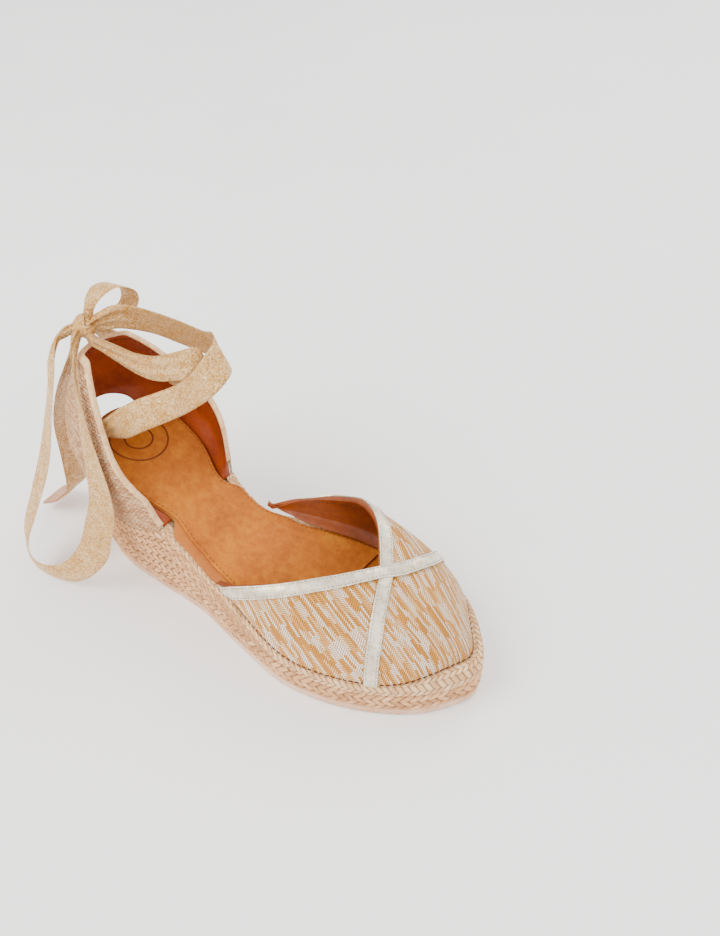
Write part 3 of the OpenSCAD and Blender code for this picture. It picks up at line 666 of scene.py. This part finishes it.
# ---------------------------------------------------------------- sole
def outsole():
    n, grooves_from, pitch, depth = 1400, 150.0, 5.5, 1.9
    r = TOE_R - (np.arange(n) + 0.5) / n
    rows = [(-6.0, 0.0), (-1.4, 0.0), (-0.5, 0.15), (-0.05, 0.7), (0.15, 2.0), (0.2, 3.6),
            (0.0, 4.9), (-0.5, 5.4), (-1.2, OUTSOLE_T)]
    x = plan(r)[:, 0]
    near = np.abs((x - grooves_from + pitch / 2) % pitch - pitch / 2)
    cut = np.where(x > grooves_from - pitch / 2, np.sqrt(np.maximum(depth ** 2 - near ** 2, 0)), 0)
    P = np.stack([wall(r, 0, off) for off, z in rows])
    P[..., 2] = np.maximum(np.array([z for off, z in rows])[:, None], cut)
    faces = sides(len(rows), n) + across(n) + across(n, (len(rows) - 1) * n)
    ob = build("outsole_rubber", P.reshape(-1, 3), faces)
    done(ob, M_RUBBER, nodes=["outsole"])


def plait(s, t, rows, pitch, slope):
    """Relief of a plait, 0 in the grooves to 1 on the strands, at length s and height t 0 to 1."""
    q = t * rows
    row = np.minimum(np.floor(q), rows - 1)
    f = q - row
    phase = s / pitch + (row % 2 * 2 - 1) * f * slope
    return np.abs(np.cos(np.pi * phase)) ** 0.75 * np.sin(np.pi * np.clip(f, 0.02, 0.98)) ** 0.5


def wavy(s, seed, scale):
    """A slow irregular wave, so that hand-laid rows don't look machined."""
    return (np.sin(s / scale + seed) + 0.6 * np.sin(s / scale * 2.3 + seed * 2.1)
            + 0.4 * np.sin(s / scale * 5.1 + seed * 3.7)) / 2


def braided(name, r, low, high, shape, depth, material, node, seed, unit_v=False, loop=False):
    """A jute row on the wall: its face is shaped into a plait and its back is plain."""
    t = np.linspace(0, 1, 7 * shape["rows"] + 3)
    s = lengths(wall(r, (low + high) / 2, 0))
    S, T = np.meshgrid(s, t, indexing="ij")
    h = (high - low)[:, None]
    swell = np.sin(np.pi * np.clip(T, 0.03, 0.97)) ** 0.5
    thick = np.minimum(h * 0.16, depth)
    off = -0.9 + 0.9 * swell * np.minimum(h / 4, 1) + thick * plait(S, T, **shape)
    off = off + 0.25 * wavy(S, seed, 9.0) * np.minimum(h / 6, 1)
    R = np.broadcast_to(r[:, None], S.shape)
    front = wall(R, low[:, None] + h * T, off)
    back = wall(np.stack([r, r], 1), np.stack([high, low], 1), -BRAID_W)
    P = np.concatenate([front, back, front[:, :1]], 1)
    uv_front = vec(S, T if unit_v else T * h)
    uv_back = vec(np.stack([s, s], 1), np.tile([1.0, 0.0], (len(s), 1)))
    uvs = np.concatenate([uv_front, uv_back, uv_front[:, :1]], 1)
    done(skin(name, P, uvs, caps=not loop), material, nodes=[node])


def sole():
    outsole()
    r = np.linspace(1.0, 0.0, 1500)
    base = OUTSOLE_T + BRAID_H
    braided("base_braid_plait", r, np.full(len(r), OUTSOLE_T + GAP), np.full(len(r), base - GAP),
            BASE_PLAIT, 1.1, M_BRAID, "base_braid", 1.0, loop=True)
    r = np.linspace(0.311, -0.303, 900)
    p = plan(r)
    top = mix(cloth_z(p[:, 0]) - GAP, rim_z(p) - EDGE_H - GAP, smooth(77, 83, p[:, 0]))
    count, seam = 5, 0.04
    for k in range(count):
        low, high = mix(base, top, k / count) + seam, mix(base, top, (k + 1) / count) - seam
        braided(f"plaited_row_{k + 1}", r, low, high, ROW_PLAIT, 1.2, M_ROW, f"course_{k + 1}",
                3.1 * k, unit_v=True)


def jute_edge():
    r = np.linspace(0.8285, 0.1875, 1100)
    p = plan(r)
    x = p[:, 0]
    z = rim_z(p) - 2.5 * lap(p)
    braid_top = OUTSOLE_T + BRAID_H + GAP
    low = mix(rim_z(p) - EDGE_H, braid_top, smooth(165, 175, x))
    h = z - low
    inner = -BRAID_W - 0.1 - TOE_GUARD * smooth(205, 240, x)
    s = lengths(wall(r, z, 0))
    t = np.linspace(0, 1, 20)
    S, T = np.meshgrid(s, t, indexing="ij")
    R = np.broadcast_to(r[:, None], S.shape)
    off = -0.4 + 1.0 * np.sin(np.pi * np.clip(T, 0.02, 0.98)) ** 0.6
    off = off + 0.7 * plait(S, T, **EDGE_PLAIT) - 0.25 + 0.2 * wavy(S, 4.0, 8.0)
    front = wall(R, low[:, None] + h[:, None] * T, off)
    w = np.linspace(0, 1, 9)[1:]
    SW, W = np.meshgrid(s, w, indexing="ij")
    RW = np.broadcast_to(r[:, None], SW.shape)
    lid = wall(RW, z[:, None] + 0.25 * np.sin(np.pi * W) * np.sin(SW * 1.9),
               mix(off[:, -1:], inner[:, None], W))
    foot = wall(r, low, inner)[:, None]
    P = np.concatenate([front, lid, foot, front[:, :1]], 1)
    lid_v = 1 + W * 2
    uvs = np.concatenate([vec(S, T), vec(SW, lid_v), vec(s[:, None], 0.5), vec(S, T)[:, :1]], 1)
    ob = skin("jute_edge_braid", P, uvs)
    done(ob, M_EDGE, nodes=["jute_edge"])


# ---------------------------------------------------------------- footbed
def bed_ring(r, off, dz):
    return wall(r, bed_z(plan(r)) + dz, off)


def bed_rings(r, edge, side):
    """Rings of a layer from its hub below, over the insets and heights of its side, to the top."""
    p = plan(r)
    hub = bed_off(p) - HUB_IN
    return [bed_ring(r, hub, side[0][1]), *(bed_ring(r, edge(p) - inset, dz) for inset, dz in side),
            bed_ring(r, hub, side[-1][1])]


def sock_off(p):
    return np.where(p[..., 1] > 0, cover_off(p) - 0.5, bed_off(p) - 0.8)


def pad(name, rings, columns, material, node):
    """Flat layer whose outline points pair up across the foot; rings go from the bottom edge
    round the side to the top edge, and the top is filled with columns of points."""
    n, top = len(rings[0]), rings[-1]
    A, B = top[: n // 2], top[::-1][: n // 2]
    w = np.linspace(0, 1, columns)[None, :, None]
    G = A[:, None] * (1 - w) + B[:, None] * w
    P = np.concatenate([*rings, G.reshape(-1, 3)])
    faces = sides(len(rings), n) + across(n) + quads(n // 2, columns, base=len(rings) * n).tolist()
    done(build(name, P, faces, P[:, :2]), material, nodes=[node])


def footbed():
    n = 420
    r = TOE_R - (np.arange(n) + 0.5) / n
    side = ((0.1, -2.25), (0.1, -1.45), (0.45, -1.25))
    pad("insole_cover_leather", bed_rings(r, cover_off, side), 24, M_ORANGE, "insole_cover")
    r = np.linspace(*SOCK_R, n)
    side = ((0.0, -1.0), (0.0, -0.45), (0.25, -0.12), (0.6, 0.0))
    pad("sock_suede_pad", bed_rings(r, sock_off, side), 60, M_SUEDE, "sock_lining")
    seam_at = bed_ring(r, sock_off(plan(r)) - 1.5, 0.02)
    seam = stitches("sock_stitches", seam_at, np.tile([0.0, 0.0, 1.0], (n, 1)), 2.6, 1.6, 0.3)
    done(seam, M_BROWN)


def emblem():
    cx, cy, tilt = 41.0, -2.0, 3.6
    pts, faces = [], []

    def ring(radius, width, n=96):
        base = len(pts)
        for k in range(n):
            a = 2 * math.pi * k / n
            for q, z in ((radius - width, 0.02), (radius - width * 0.8, 0.16),
                         (radius - width * 0.2, 0.16), (radius, 0.02)):
                pts.append((q * math.cos(a), q * math.sin(a), z))
        for k in range(n):
            for j in range(3):
                a, b = base + k * 4 + j, base + (k + 1) % n * 4 + j
                faces.append([a, b, b + 1, a + 1])

    ring(15.5, 1.0)
    ring(7.75, 1.0)
    P = np.array(pts)
    t = math.radians(tilt)
    slope = np.stack([P[:, 0] * math.cos(t) + P[:, 2] * math.sin(t), P[:, 1],
                      P[:, 2] * math.cos(t)], 1)
    x = cx + slope[:, 0]
    ob = build("heel_emblem_print",
               np.stack([x, cy + slope[:, 1], foot_z(x) + slope[:, 2] + 0.02], 1),
               faces)
    done(ob, M_PRINT, nodes=["heel_emblem"])


# ---------------------------------------------------------------- vamp
def vamp_cloth_uv(P):
    """Cloth coordinates: along the foot, and across it following the curve of the vamp."""
    x, y, z = P[..., 0], P[..., 1], P[..., 2]
    drop = foot_z(x) + 36 - z
    return vec(x - 0.5 * z, y + np.tanh(y / 14) * np.maximum(drop, 0) * 0.55)


def vamp_parts():
    U, V = np.meshgrid(np.linspace(0, 1, 261), np.linspace(0, 1, 61), indexing="ij")
    A, B = vamp_off(U, V, 0.0), vamp_off(U, V, -RAFFIA_T)
    ob = shell("raffia_vamp", A, B, vamp_cloth_uv(A))
    done(ob, M_RAFFIA, nodes=["vamp_raffia"])
    A = vamp_off(U, V, -LINING_FACE)
    ahead = smooth(112, 132, plan(vamp_r(U))[..., 0])
    B = vamp_off(U, V, -LINING_BACK - COVE * (1 - smooth(0, 0.28, V)) * ahead)
    ob = shell("vamp_lining_skin", A, B, vamp_cloth_uv(A))
    done(ob, M_VAMP_LINING, nodes=["vamp_lining"])
    # rolled leather edge along the top line, over the lining and the raffia
    u = np.linspace(0.0, 1.0, 320)
    fade = 0.25 + 0.75 * smooth(0, 0.05, u) * (1 - smooth(0.9, 1, u))
    c = vamp_off(u, 0.995, -1.35 * fade)
    n, t = vamp_n(u, 0.99), unit(np.gradient(c, axis=0))
    up = unit(np.cross(n, t))
    a = np.linspace(0, 2 * np.pi, 15)
    P = (c[:, None] + n[:, None] * (1.5 * fade[:, None] * np.cos(a))[..., None]
         + up[:, None] * (0.6 * fade[:, None] * np.sin(a))[..., None])
    P[..., 2] = np.maximum(P[..., 2], feather(u)[:, 2][:, None] + 0.05)
    ob = skin("topline_roll", P, vec(lengths(c)[:, None], a[None]))
    done(ob, M_VAMP_LINING)
    inside = vamp_off(u, 0.9, -LINING_BACK - 0.03)
    seam = stitches("topline_stitches", inside[6:-40], -n[6:-40], 2.3, 1.5, 0.4)
    done(seam, M_BROWN)
    # dark seam where the vamp meets the jute edge
    foot = vamp_off(u, 0.035, 0.12)
    seam = stitches("feather_stitches", foot, vamp_n(u, 0.035), 3.0, 2.2, 0.6)
    done(seam, M_BROWN)


STRIP_W, TURN = 6.8, 0.62  # width, and the share of a strip's length that follows the top line


def strip_v(u):
    w = np.linalg.norm(vamp(u, 1.0) - vamp(u, 0.0), axis=-1)
    return 1 - np.degrees(np.arcsin(np.minimum(1, 0.5 * STRIP_W / w))) / 58


def beside(p, a, b, bow):
    """How far p lies to the side of the bowed line from a to b, seen from above."""
    d, q = b - a, p[..., :2] - a
    w = (q @ d) / (d @ d)
    return (d[0] * q[..., 1] - d[1] * q[..., 0]) / np.linalg.norm(d) + 4 * bow * w * (1 - w)


def strip_line(s, start, far, u_far, bow):
    s = np.clip(s, 0, 1)
    v_mid = strip_v(np.array(0.5))
    a, b = vamp(0.5, v_mid)[:2], np.array(far, float)
    v = mix(v_mid, 0, np.clip((s - TURN) / (1 - TURN), 0, 1))
    low, high = np.full(s.shape, mix(0.5, start, 0.02)), np.full(s.shape, u_far)
    for _ in range(20):
        mid = (low + high) / 2
        same = beside(vamp(mid, v), a, b, bow) * beside(vamp(low, v), a, b, bow) > 0
        low, high = np.where(same, mid, low), np.where(same, high, mid)
    along_top = mix(start, 0.5, s / TURN)
    before = s < TURN
    return (np.where(before, along_top, (low + high) / 2),
            np.where(before, strip_v(np.where(before, along_top, 0.5)), v))


def trim(name, node, start, far, u_far, bow, lift):
    s = np.linspace(0, 1, 260)
    line_at = lambda t: strip_line(t, start, far, u_far, bow)
    (u, v), ahead, behind = line_at(s), line_at(s + 0.01), line_at(s - 0.01)
    m = vamp_n(u, v)
    side = unit(np.cross(vamp(*ahead) - vamp(*behind), m))
    c = vamp(u, v)
    h = 0.35 + lift * smooth(0.45, 0.62, s) * (1 - smooth(0.72, 0.85, s))
    profile = [(-0.5, 0.0), (-0.5, 0.35), (-0.47, 0.6), (-0.40, 0.72), (-0.36, 0.66), (-0.30, 0.76),
               (0.0, 0.86), (0.30, 0.76), (0.36, 0.66), (0.40, 0.72), (0.47, 0.6), (0.5, 0.35),
               (0.5, 0.0), (-0.5, 0.0)]
    P = np.stack([c + side * (a * STRIP_W) + m * (h + b)[:, None] for a, b in profile], 1)
    P[..., 2] = np.maximum(P[..., 2], edge_z(P[..., 0]) + 0.22)
    ob = skin(name, P, vec(lengths(c)[:, None], np.array([a for a, b in profile]) * STRIP_W))
    done(ob, M_SILVER, nodes=[node])
    for k, a in enumerate((-0.36, 0.36)):
        line = c + side * (a * STRIP_W) + m * (h + 0.66)[:, None]
        keep = line[:, 2] > edge_z(line[:, 0]) + 1.2
        seam = stitches(f"{name}_stitches_{k + 1}", line[keep], m[keep], 2.0, 1.35, 0.38)
        done(seam, M_GREY)


# ---------------------------------------------------------------- counter
COLS, ROWS, BELOW = 264, 46, 6  # cells round the counter, up it, and of those under the window
WINDOW_HALF, WINDOW_SILL, WINDOW_TOP = 27, 72, 87
SLOT_COLS, SLOT_ROWS = (45, 219), slice(31, 42)  # cells left open for the ribbon


def counter_grid(depth, foot, cove=0.0, lining=False):
    """Points of the counter at a depth under its face, from the height foot(x) to the binding. The
    window is left open, and in the lining so are the part below it and the ribbon's slots."""
    r = mix(0.187, -0.171, np.linspace(0, 1, COLS + 1))
    x = plan(r)[:, 0]
    w = wall(r, 70.0, 0.0)
    s = np.abs(w[:, 1]) + np.maximum(w[:, 0] - 12, 0) * 0.35
    arch = (1 - np.minimum(s / WINDOW_HALF, 1) ** 2.4) ** 0.5
    window = np.where(s < WINDOW_HALF, mix(WINDOW_SILL, WINDOW_TOP, arch), 0)
    lo = foot(x)
    hi = np.maximum(counter_z(plan(r)) - BINDING_DROP, lo + 1.2)
    back_foot = foot(np.array(12.0))
    share = lambda z: (z - back_foot) / (COUNTER_TOP - 2 - back_foot)
    a = np.maximum(mix(lo, hi, share(67)), lo + 0.4)
    b = np.maximum(np.maximum(window, mix(lo, hi, share(WINDOW_SILL))), lo + 0.8)
    above = ROWS - BELOW - 1
    Z = np.stack([mix(lo, a, k / BELOW) for k in range(BELOW + 1)]
                 + [mix(b, hi, k / above) for k in range(above + 1)], 1)
    P = wall(r[:, None], Z, -depth - cove * (1 - smooth(0, 14, Z - lo[:, None])))
    keep = np.ones((COLS, ROWS), bool)
    open_ = (window[:-1] > 0) & (window[1:] > 0)
    keep[open_, BELOW] = False
    if lining:
        keep[open_, :BELOW] = False
        for col in SLOT_COLS:
            keep[col - 1:col + 1, SLOT_ROWS] = False
    arc = lengths(wall(r, 95.0, 0.0))
    uv = vec(arc[:, None], Z * 0.82 + 0.18 * (Z - lo[:, None]))
    return P, uv, keep, r, x


def counter():
    cloth_foot = lambda x: cloth_z(x) + 0.1
    A, uv, keep, r, x = counter_grid(0.0, cloth_foot)
    B = counter_grid(CLOTH_T, cloth_foot)[0]
    ob = shell("counter_knit_cloth", A, B, uv, keep)
    done(ob, M_KNIT, nodes=["counter_cloth"])
    lining_foot = lambda x: foot_z(x) - 3.6
    A, uv, keep, r, x = counter_grid(COUNTER_LINING_IN, lining_foot, FACE_COVE, lining=True)
    B = counter_grid(COUNTER_LINING_IN + LINING_T, lining_foot, BACK_COVE)[0]
    ob = shell("counter_lining_skin", A, B, uv, keep)
    done(ob, M_LINING, nodes=["counter_lining"])
    # bound top edge: a thin cord folded over the rim, with an overlock stitch
    top = counter_z(plan(r))
    s = lengths(wall(r, top, 0.0))
    fine, inset, whip = np.linspace(0, s[-1], 900), 1.45, 1.1
    R = np.interp(fine, s, r)[:, None]
    S, turn = np.meshgrid(fine, np.linspace(0, 2 * np.pi, 25), indexing="ij")
    bump = 0.1 * np.abs(np.sin(S * np.pi / whip)) + 0.12 * wavy(S, 2.0, 5.0)
    P = wall(R, counter_z(plan(R)) - inset + (1.25 + bump) * np.sin(turn),
             -inset + (1.55 + bump) * np.cos(turn))
    ob = skin("counter_top_binding", P, vec(S, turn / (2 * np.pi)))
    done(ob, M_CORD, nodes=["counter_binding"])
    line = wall(r, top - 5.2, -3.17)
    keep = line[:, 2] > foot_z(x) + 2.0
    centre = np.array([60.0, -2.0, 100.0])
    seam = stitches("counter_stitches", line[keep], unit(centre - line)[keep], 2.6, 1.7, 0.42)
    done(seam, M_BROWN)
    # seam down the back of the counter
    line = wall(0.0, np.linspace(WINDOW_TOP + 1.5, COUNTER_TOP - 4, 60), 0.1)
    behind = np.tile([-1.0, 0.0, 0.05], (60, 1))
    seam = stitches("back_seam_stitches", line, behind, 3.0, 2.1, 0.6)
    done(seam, M_WHITE)


# ---------------------------------------------------------------- ribbon
def strip(name, path, node, body="shoe", width=RIBBON_W, thick=0.4, material=M_RIBBON,
          folds=0.35, seed=0.0):
    """Ribbon through (centre, direction across, share of the width), with soft folds where it is
    drawn together."""
    steps, columns = 22, 13
    C = np.array([p[0] for p in path], float)
    A = unit(np.array([p[1] for p in path], float))
    W = np.array([[p[2] if len(p) > 2 else 1.0] for p in path])
    s = np.linspace(0, 1, (len(path) - 1) * steps + 1)
    c, a, w = spline(C, s), unit(spline(A, s)), np.minimum(spline(W, s)[:, 0], 1.0)
    t = unit(spline(C, s + 0.004) - spline(C, s - 0.004))
    m = unit(np.cross(t, a))
    L = lengths(c)
    f = np.linspace(-0.5, 0.5, columns)
    S, F = np.meshgrid(L, f, indexing="ij")
    gather = (1 - w)[:, None]
    ripple = gather * 3.0 * np.sin(F * np.pi * 5 + seed) + folds * (
        np.sin(F * np.pi * 1.4 + S / 23 + seed) + 0.45 * np.sin(S / 11 + F * 3 + seed * 2))
    cup = folds * 1.4 * (0.25 - F ** 2) * np.sin(S / 31 + seed)
    mid = c[:, None] + a[:, None] * (F * width * w[:, None])[..., None] + m[:, None] * (
        ripple + cup)[..., None]
    edge = np.clip((0.5 - np.abs(F)) * columns / 2, 0, 1)[..., None]
    half = m[:, None] * thick / 2 * (0.45 + 0.55 * edge)
    ob = shell(name, mid + half, mid - half, vec(S, F * width))
    done(ob, material, body, [node])
    return c, a, m


OUTER = [((45, -29.8, 106), (0, 0, 1), 0.65), ((47, -27.4, 106.3), (0, 0, 1), 0.68),
         ((51, -25.5, 108), (-0.1, 0.05, 1), 0.8), ((59, -23, 113), (-0.2, 0.1, 1)),
         ((68, -19.5, 119.5), (-0.2, 0.1, 1)), ((81.5, -12, 127.2), (-0.1, 0.1, 1)),
         ((93, -9.8, 137), (-0.15, 0.1, 1)), ((102, -6.2, 147.5), (-0.35, 0, 0.9)),
         ((104.8, 1.5, 154.5), (-0.45, 0, 0.9)), ((99.5, 6.5, 155), (-0.3, -0.1, 1)),
         ((89, 10.5, 150.5), (0, -0.2, 1)), ((76, 14.5, 146.5), (0, -0.2, 1)),
         ((60, 18.5, 142.5), (0, -0.2, 1)), ((43, 18, 142), (0, -0.2, 1)),
         ((31.5, 11.5, 144), (0, -0.1, 1), 0.85), ((24.5, 5.5, 142.5), (0, 0, 1), 0.55),
         ((20.5, 2.2, 141), (0, 0, 1), 0.3)]
INNER = [((44, 25.4, 106), (0, 0, 1), 0.65), ((46, 23.2, 106.3), (0, 0, 1), 0.68),
         ((51, 21.2, 108), (-0.1, -0.05, 1), 0.8), ((59, 19, 113), (-0.2, -0.1, 1)),
         ((68, 15.5, 120), (-0.2, -0.1, 1)), ((80.5, 9.5, 129), (-0.2, -0.1, 1)),
         ((91.5, 3.5, 139), (-0.25, 0, 1)), ((98.5, -0.5, 148), (-0.4, 0, 0.9)),
         ((96, -3.2, 151), (-0.3, 0, 1)), ((88, -9, 150.2), (0, 0.1, 1), 0.9),
         ((76, -12.2, 146), (0, 0.2, 1), 0.75), ((62, -11, 142.6), (0, 0.2, 1), 0.65),
         ((46, -7.5, 139.5), (0, 0.2, 1), 0.55), ((34, -5, 137.5), (0, 0.2, 1), 0.45),
         ((25, -3, 136.5), (0, 0.1, 1), 0.4), ((21, -0.8, 138.5), (0, 0.1, 1), 0.3)]
SIDE = (0.968, -0.144, 0.206)
LOOP_UP = [((17.8, 2.2, 141.5), SIDE, 0.3), ((17.5, 4.6, 144.8), SIDE, 0.45),
           ((17.6, 7.4, 149.5), SIDE, 0.75), ((19, 14, 154), SIDE), ((21.5, 20.5, 154), SIDE),
           ((25, 26, 149.5), SIDE), ((25.5, 24.5, 142.5), SIDE), ((23, 16, 138.5), SIDE, 0.75),
           ((19.5, 8.5, 138), SIDE, 0.45), ((18.6, 3.8, 139), SIDE, 0.3)]
LOOP_DOWN = [((15.5, -3.4, 139.8), (0.5, -0.3, 0.8), 0.3),
             ((12, -6.8, 138.5), (0.5, -0.3, 0.8), 0.4),
             ((7, -10.5, 132.5), (0.7, -0.5, 0.5), 0.65), ((3, -14.5, 119), (0.8, -0.5, 0.1), 0.9),
             ((1, -20, 99.6), (0.8, -0.6, 0)), ((-2, -31, 67.4), (0.85, -0.5, 0)),
             ((-3, -46, 44), (0.85, -0.5, 0)), ((-3, -57, 28.5), (0.8, -0.4, 0.3)),
             ((3.5, -63, 17), (0.4, -0.2, 0.85)), ((16, -63, 14), (0.1, -0.25, 0.95)),
             ((30, -58, 17.5), (-0.3, -0.2, 0.9)), ((41, -50, 32), (-0.75, -0.2, 0.6)),
             ((46.5, -45.5, 51), (-0.9, -0.1, 0.35)), ((52, -44, 68), (-0.95, 0, 0.25)),
             ((53, -42.5, 86), (-0.95, 0.15, 0.3)), ((48, -38, 104), (-0.85, 0.3, 0.5)),
             ((39, -30, 120), (-0.75, 0.5, 0.5)), ((27, -18.5, 133), (-0.6, 0.45, 0.65), 0.8),
             ((20, -8.5, 138), (-0.2, 0.35, 0.9), 0.5),
             ((18.3, -4.6, 139.3), (-0.1, 0.35, 0.9), 0.32)]
REAR = [((14.3, 0.8, 138.2), (0.2, -0.9, 0.2), 0.3), ((11, 1.2, 134), (0.2, -0.9, 0.2), 0.4),
        ((5, 1.2, 123), (0.3, -0.9, 0), 0.6), ((-5.5, -3, 100), (0.3, -0.95, 0), 0.85),
        ((-12, -7, 75), (0.3, -0.95, 0)), ((-12, -9, 49), (0.2, -0.95, 0)),
        ((-11, -11, 30), (0.1, -0.95, 0)), ((-14.5, -12, 19), (0, -1, 0)),
        ((-21, -13, 12.5), (0, -1, 0))]
REAR_TIP = [((-21.5, -13, 12.1), (0, -1, 0)), ((-27, -14, 8.6), (0, -1, 0)),
            ((-33, -15, 5.6), (0, -1, 0))]
TAIL = [((14.2, 4, 138.2), (0.6, -0.4, 0.6), 0.3), ((10.5, 7, 134.5), (0.6, -0.4, 0.6), 0.4),
        ((8, 14.5, 127), (0.8, 0.5, 0.1), 0.65), ((7.5, 26, 112), (0.8, 0.55, 0.1), 0.9),
        ((7, 33.5, 92), (0.8, 0.55, 0.1)), ((7, 37.5, 74), (0.8, 0.55, 0.1))]
TAIL_TIP = [((7, 37.7, 73.4), (0.8, 0.55, 0.1)), ((7, 38.7, 67), (0.8, 0.55, 0.1)),
            ((7, 39.5, 60), (0.8, 0.55, 0.1))]
KNOT = np.array([18.0, 0.5, 140.0])


def knot():
    """The knot: a rounded bundle drawn into creases, with two turns of ribbon round it."""
    n, m = 72, 40
    a = np.linspace(0, 2 * np.pi, n)
    b = np.linspace(-np.pi / 2, np.pi / 2, m)
    A, B = np.meshgrid(a, b, indexing="ij")
    crease = (1 + 0.09 * np.sin(7 * A + 4 * B) + 0.07 * np.sin(3 * A - 6 * B)
              + 0.03 * np.sin(11 * B + A))
    bundle = vec(5.0 * np.cos(B) * np.cos(A), 5.0 * np.cos(B) * np.sin(A), 4.4 * np.sin(B))
    P = bundle * crease[..., None]
    ob = build("ribbon_knot_bundle", (P + KNOT).reshape(-1, 3), quads(n, m).tolist(),
               vec(A * 5, B * 5).reshape(-1, 2))
    done(ob, M_RIBBON, nodes=["ribbon_knot"])
    for k, (tilt, turn, width, reach) in enumerate(((0.35, 0.5, 7.5, 5.6), (1.25, 0.6, 5.0, 6.0))):
        s = np.linspace(0, 2 * np.pi, 90)
        f = np.linspace(-0.5, 0.5, 13)
        S, F = np.meshgrid(s, f, indexing="ij")
        axis = np.array([math.sin(tilt) * math.cos(turn), math.sin(tilt) * math.sin(turn),
                         math.cos(tilt)])
        e1 = unit(np.cross(axis, [0.3, 0.2, 0.9]))
        e2 = np.cross(axis, e1)
        R = reach * (1 - 0.42 * (F * 2) ** 2 * 0.5) + 0.4 * np.sin(F * 16 + 1.6 * np.sin(S))
        P = (e1 * (R * np.cos(S))[..., None] + e2 * (R * np.sin(S))[..., None]
             + axis * (F * width)[..., None])
        Q = P - unit(P) * 0.7
        ob = shell(f"ribbon_knot_turn_{k + 1}", P + KNOT, Q + KNOT, vec(S * reach, F * width))
        done(ob, M_RIBBON)


def tip(name, path, node, body):
    """Leather tip folded over the ribbon's end, with one row of stitches."""
    c, a, m = strip(name, path, node, body, width=RIBBON_W + 1, thick=1.5, material=M_TIP,
                    folds=0.05)
    for k, side in enumerate((1, -1)):
        spot = c[len(c) // 3]
        line = spot + a[0] * np.linspace(-0.46, 0.46, 40)[:, None] * RIBBON_W + m[0] * side * 0.78
        seam = stitches(f"{name}_stitches_{k + 1}", line, np.tile(m[0] * side, (40, 1)),
                        2.2, 1.5, 0.45)
        done(seam, M_WHITE, body)


sole()
jute_edge()
footbed()
emblem()
vamp_parts()
trim("trim_outer_strip", "trim_outer", 0.045, (200.5, 43), 0.9, 7.0, 1.0)
trim("trim_inner_strip", "trim_inner", 0.9, (206.5, -36.5), 0.1, 0.0, 0.0)
counter()
knot()
strip("ribbon_outer_run", OUTER, "ribbon_outer", seed=0.3, folds=0.25)
strip("ribbon_inner_run", INNER, "ribbon_inner", seed=1.9, folds=0.25)
strip("bow_loop_up_cloth", LOOP_UP, "bow_loop_up", width=15.0, seed=2.2, folds=0.2)
strip("bow_loop_down_cloth", LOOP_DOWN, "bow_loop_hanging", "hanging_loop", seed=0.9)
strip("rear_end_cloth", REAR, "tail_rear", "rear_end", seed=4.0)
strip("inner_end_cloth", TAIL, "tail_inner", "inner_end", seed=5.2)
tip("rear_tip_leather", REAR_TIP, "tail_rear_tip", "rear_end")
tip("inner_tip_leather", TAIL_TIP, "tail_inner_tip", "inner_end")

for name, material in (("wedge_core", M_CORE), ("insole_board", M_BOARD), ("toe_puff", M_FELT),
                       ("counter_stiffener", M_FELT)):
    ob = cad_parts[name]
    ob.data.materials.clear()
    ob.data.materials.append(material)

# ---------------------------------------------------------------- floor, light and camera
bpy.ops.mesh.primitive_plane_add(size=8.0, location=(0, 0, 0))
floor = bpy.context.object
floor.name = "floor"
f = Shade("floor_paper")
tint = f.noise(f.place(), 3.0)
grey = f.ramp(tint, (0.3, (0.94, 0.94, 0.94)), (0.7, (0.99, 0.99, 0.99)))
floor.data.materials.append(f.finish(grey, 0.9, rich=1.0, value=1.0))

world = bpy.data.worlds.new("studio")
bpy.context.scene.world = world
world.use_nodes = True
sky = world.node_tree.nodes["Background"]
sky.inputs["Color"].default_value = (1.0, 0.985, 0.97, 1)
sky.inputs["Strength"].default_value = 1.7


def lamp(name, at, size, power, tint=(1, 1, 1)):
    data = bpy.data.lights.new(name, "AREA")
    data.size, data.energy, data.color = size, power, tint
    ob = bpy.data.objects.new(name, data)
    bpy.context.scene.collection.objects.link(ob)
    ob.location = at
    away = ob.location - bpy.data.objects["floor"].location
    ob.rotation_mode = "QUATERNION"
    ob.rotation_quaternion = away.to_track_quat("Z", "Y")


lamp("key", (-0.55, -0.75, 1.25), 0.8, 19.0, (1.0, 0.98, 0.95))
lamp("fill", (0.9, -0.5, 0.9), 1.0, 5.5)
lamp("rim", (0.1, 1.1, 0.9), 0.9, 6.5)

LENS, AZIMUTH, ELEVATION = 33.78, 31.948, 44.572  # mm and degrees, solved from the pair
EYE = (0.19696, -0.23085, 0.39361)  # metres
data = bpy.data.cameras.new("camera")
data.lens = LENS
camera = bpy.data.objects.new("camera", data)
bpy.context.scene.collection.objects.link(camera)
az, el = math.radians(AZIMUTH), math.radians(ELEVATION)
back = np.array([math.sin(az) * math.cos(el), -math.cos(az) * math.cos(el), math.sin(el)])
right = np.array([math.cos(az), math.sin(az), 0.0])
up = np.cross(back, right)
turn = Matrix((right, up, back)).transposed().to_4x4()
camera.matrix_world = Matrix.Translation(EYE) @ turn
data.clip_start, data.clip_end = 0.01, 20.0
bpy.context.scene.camera = camera
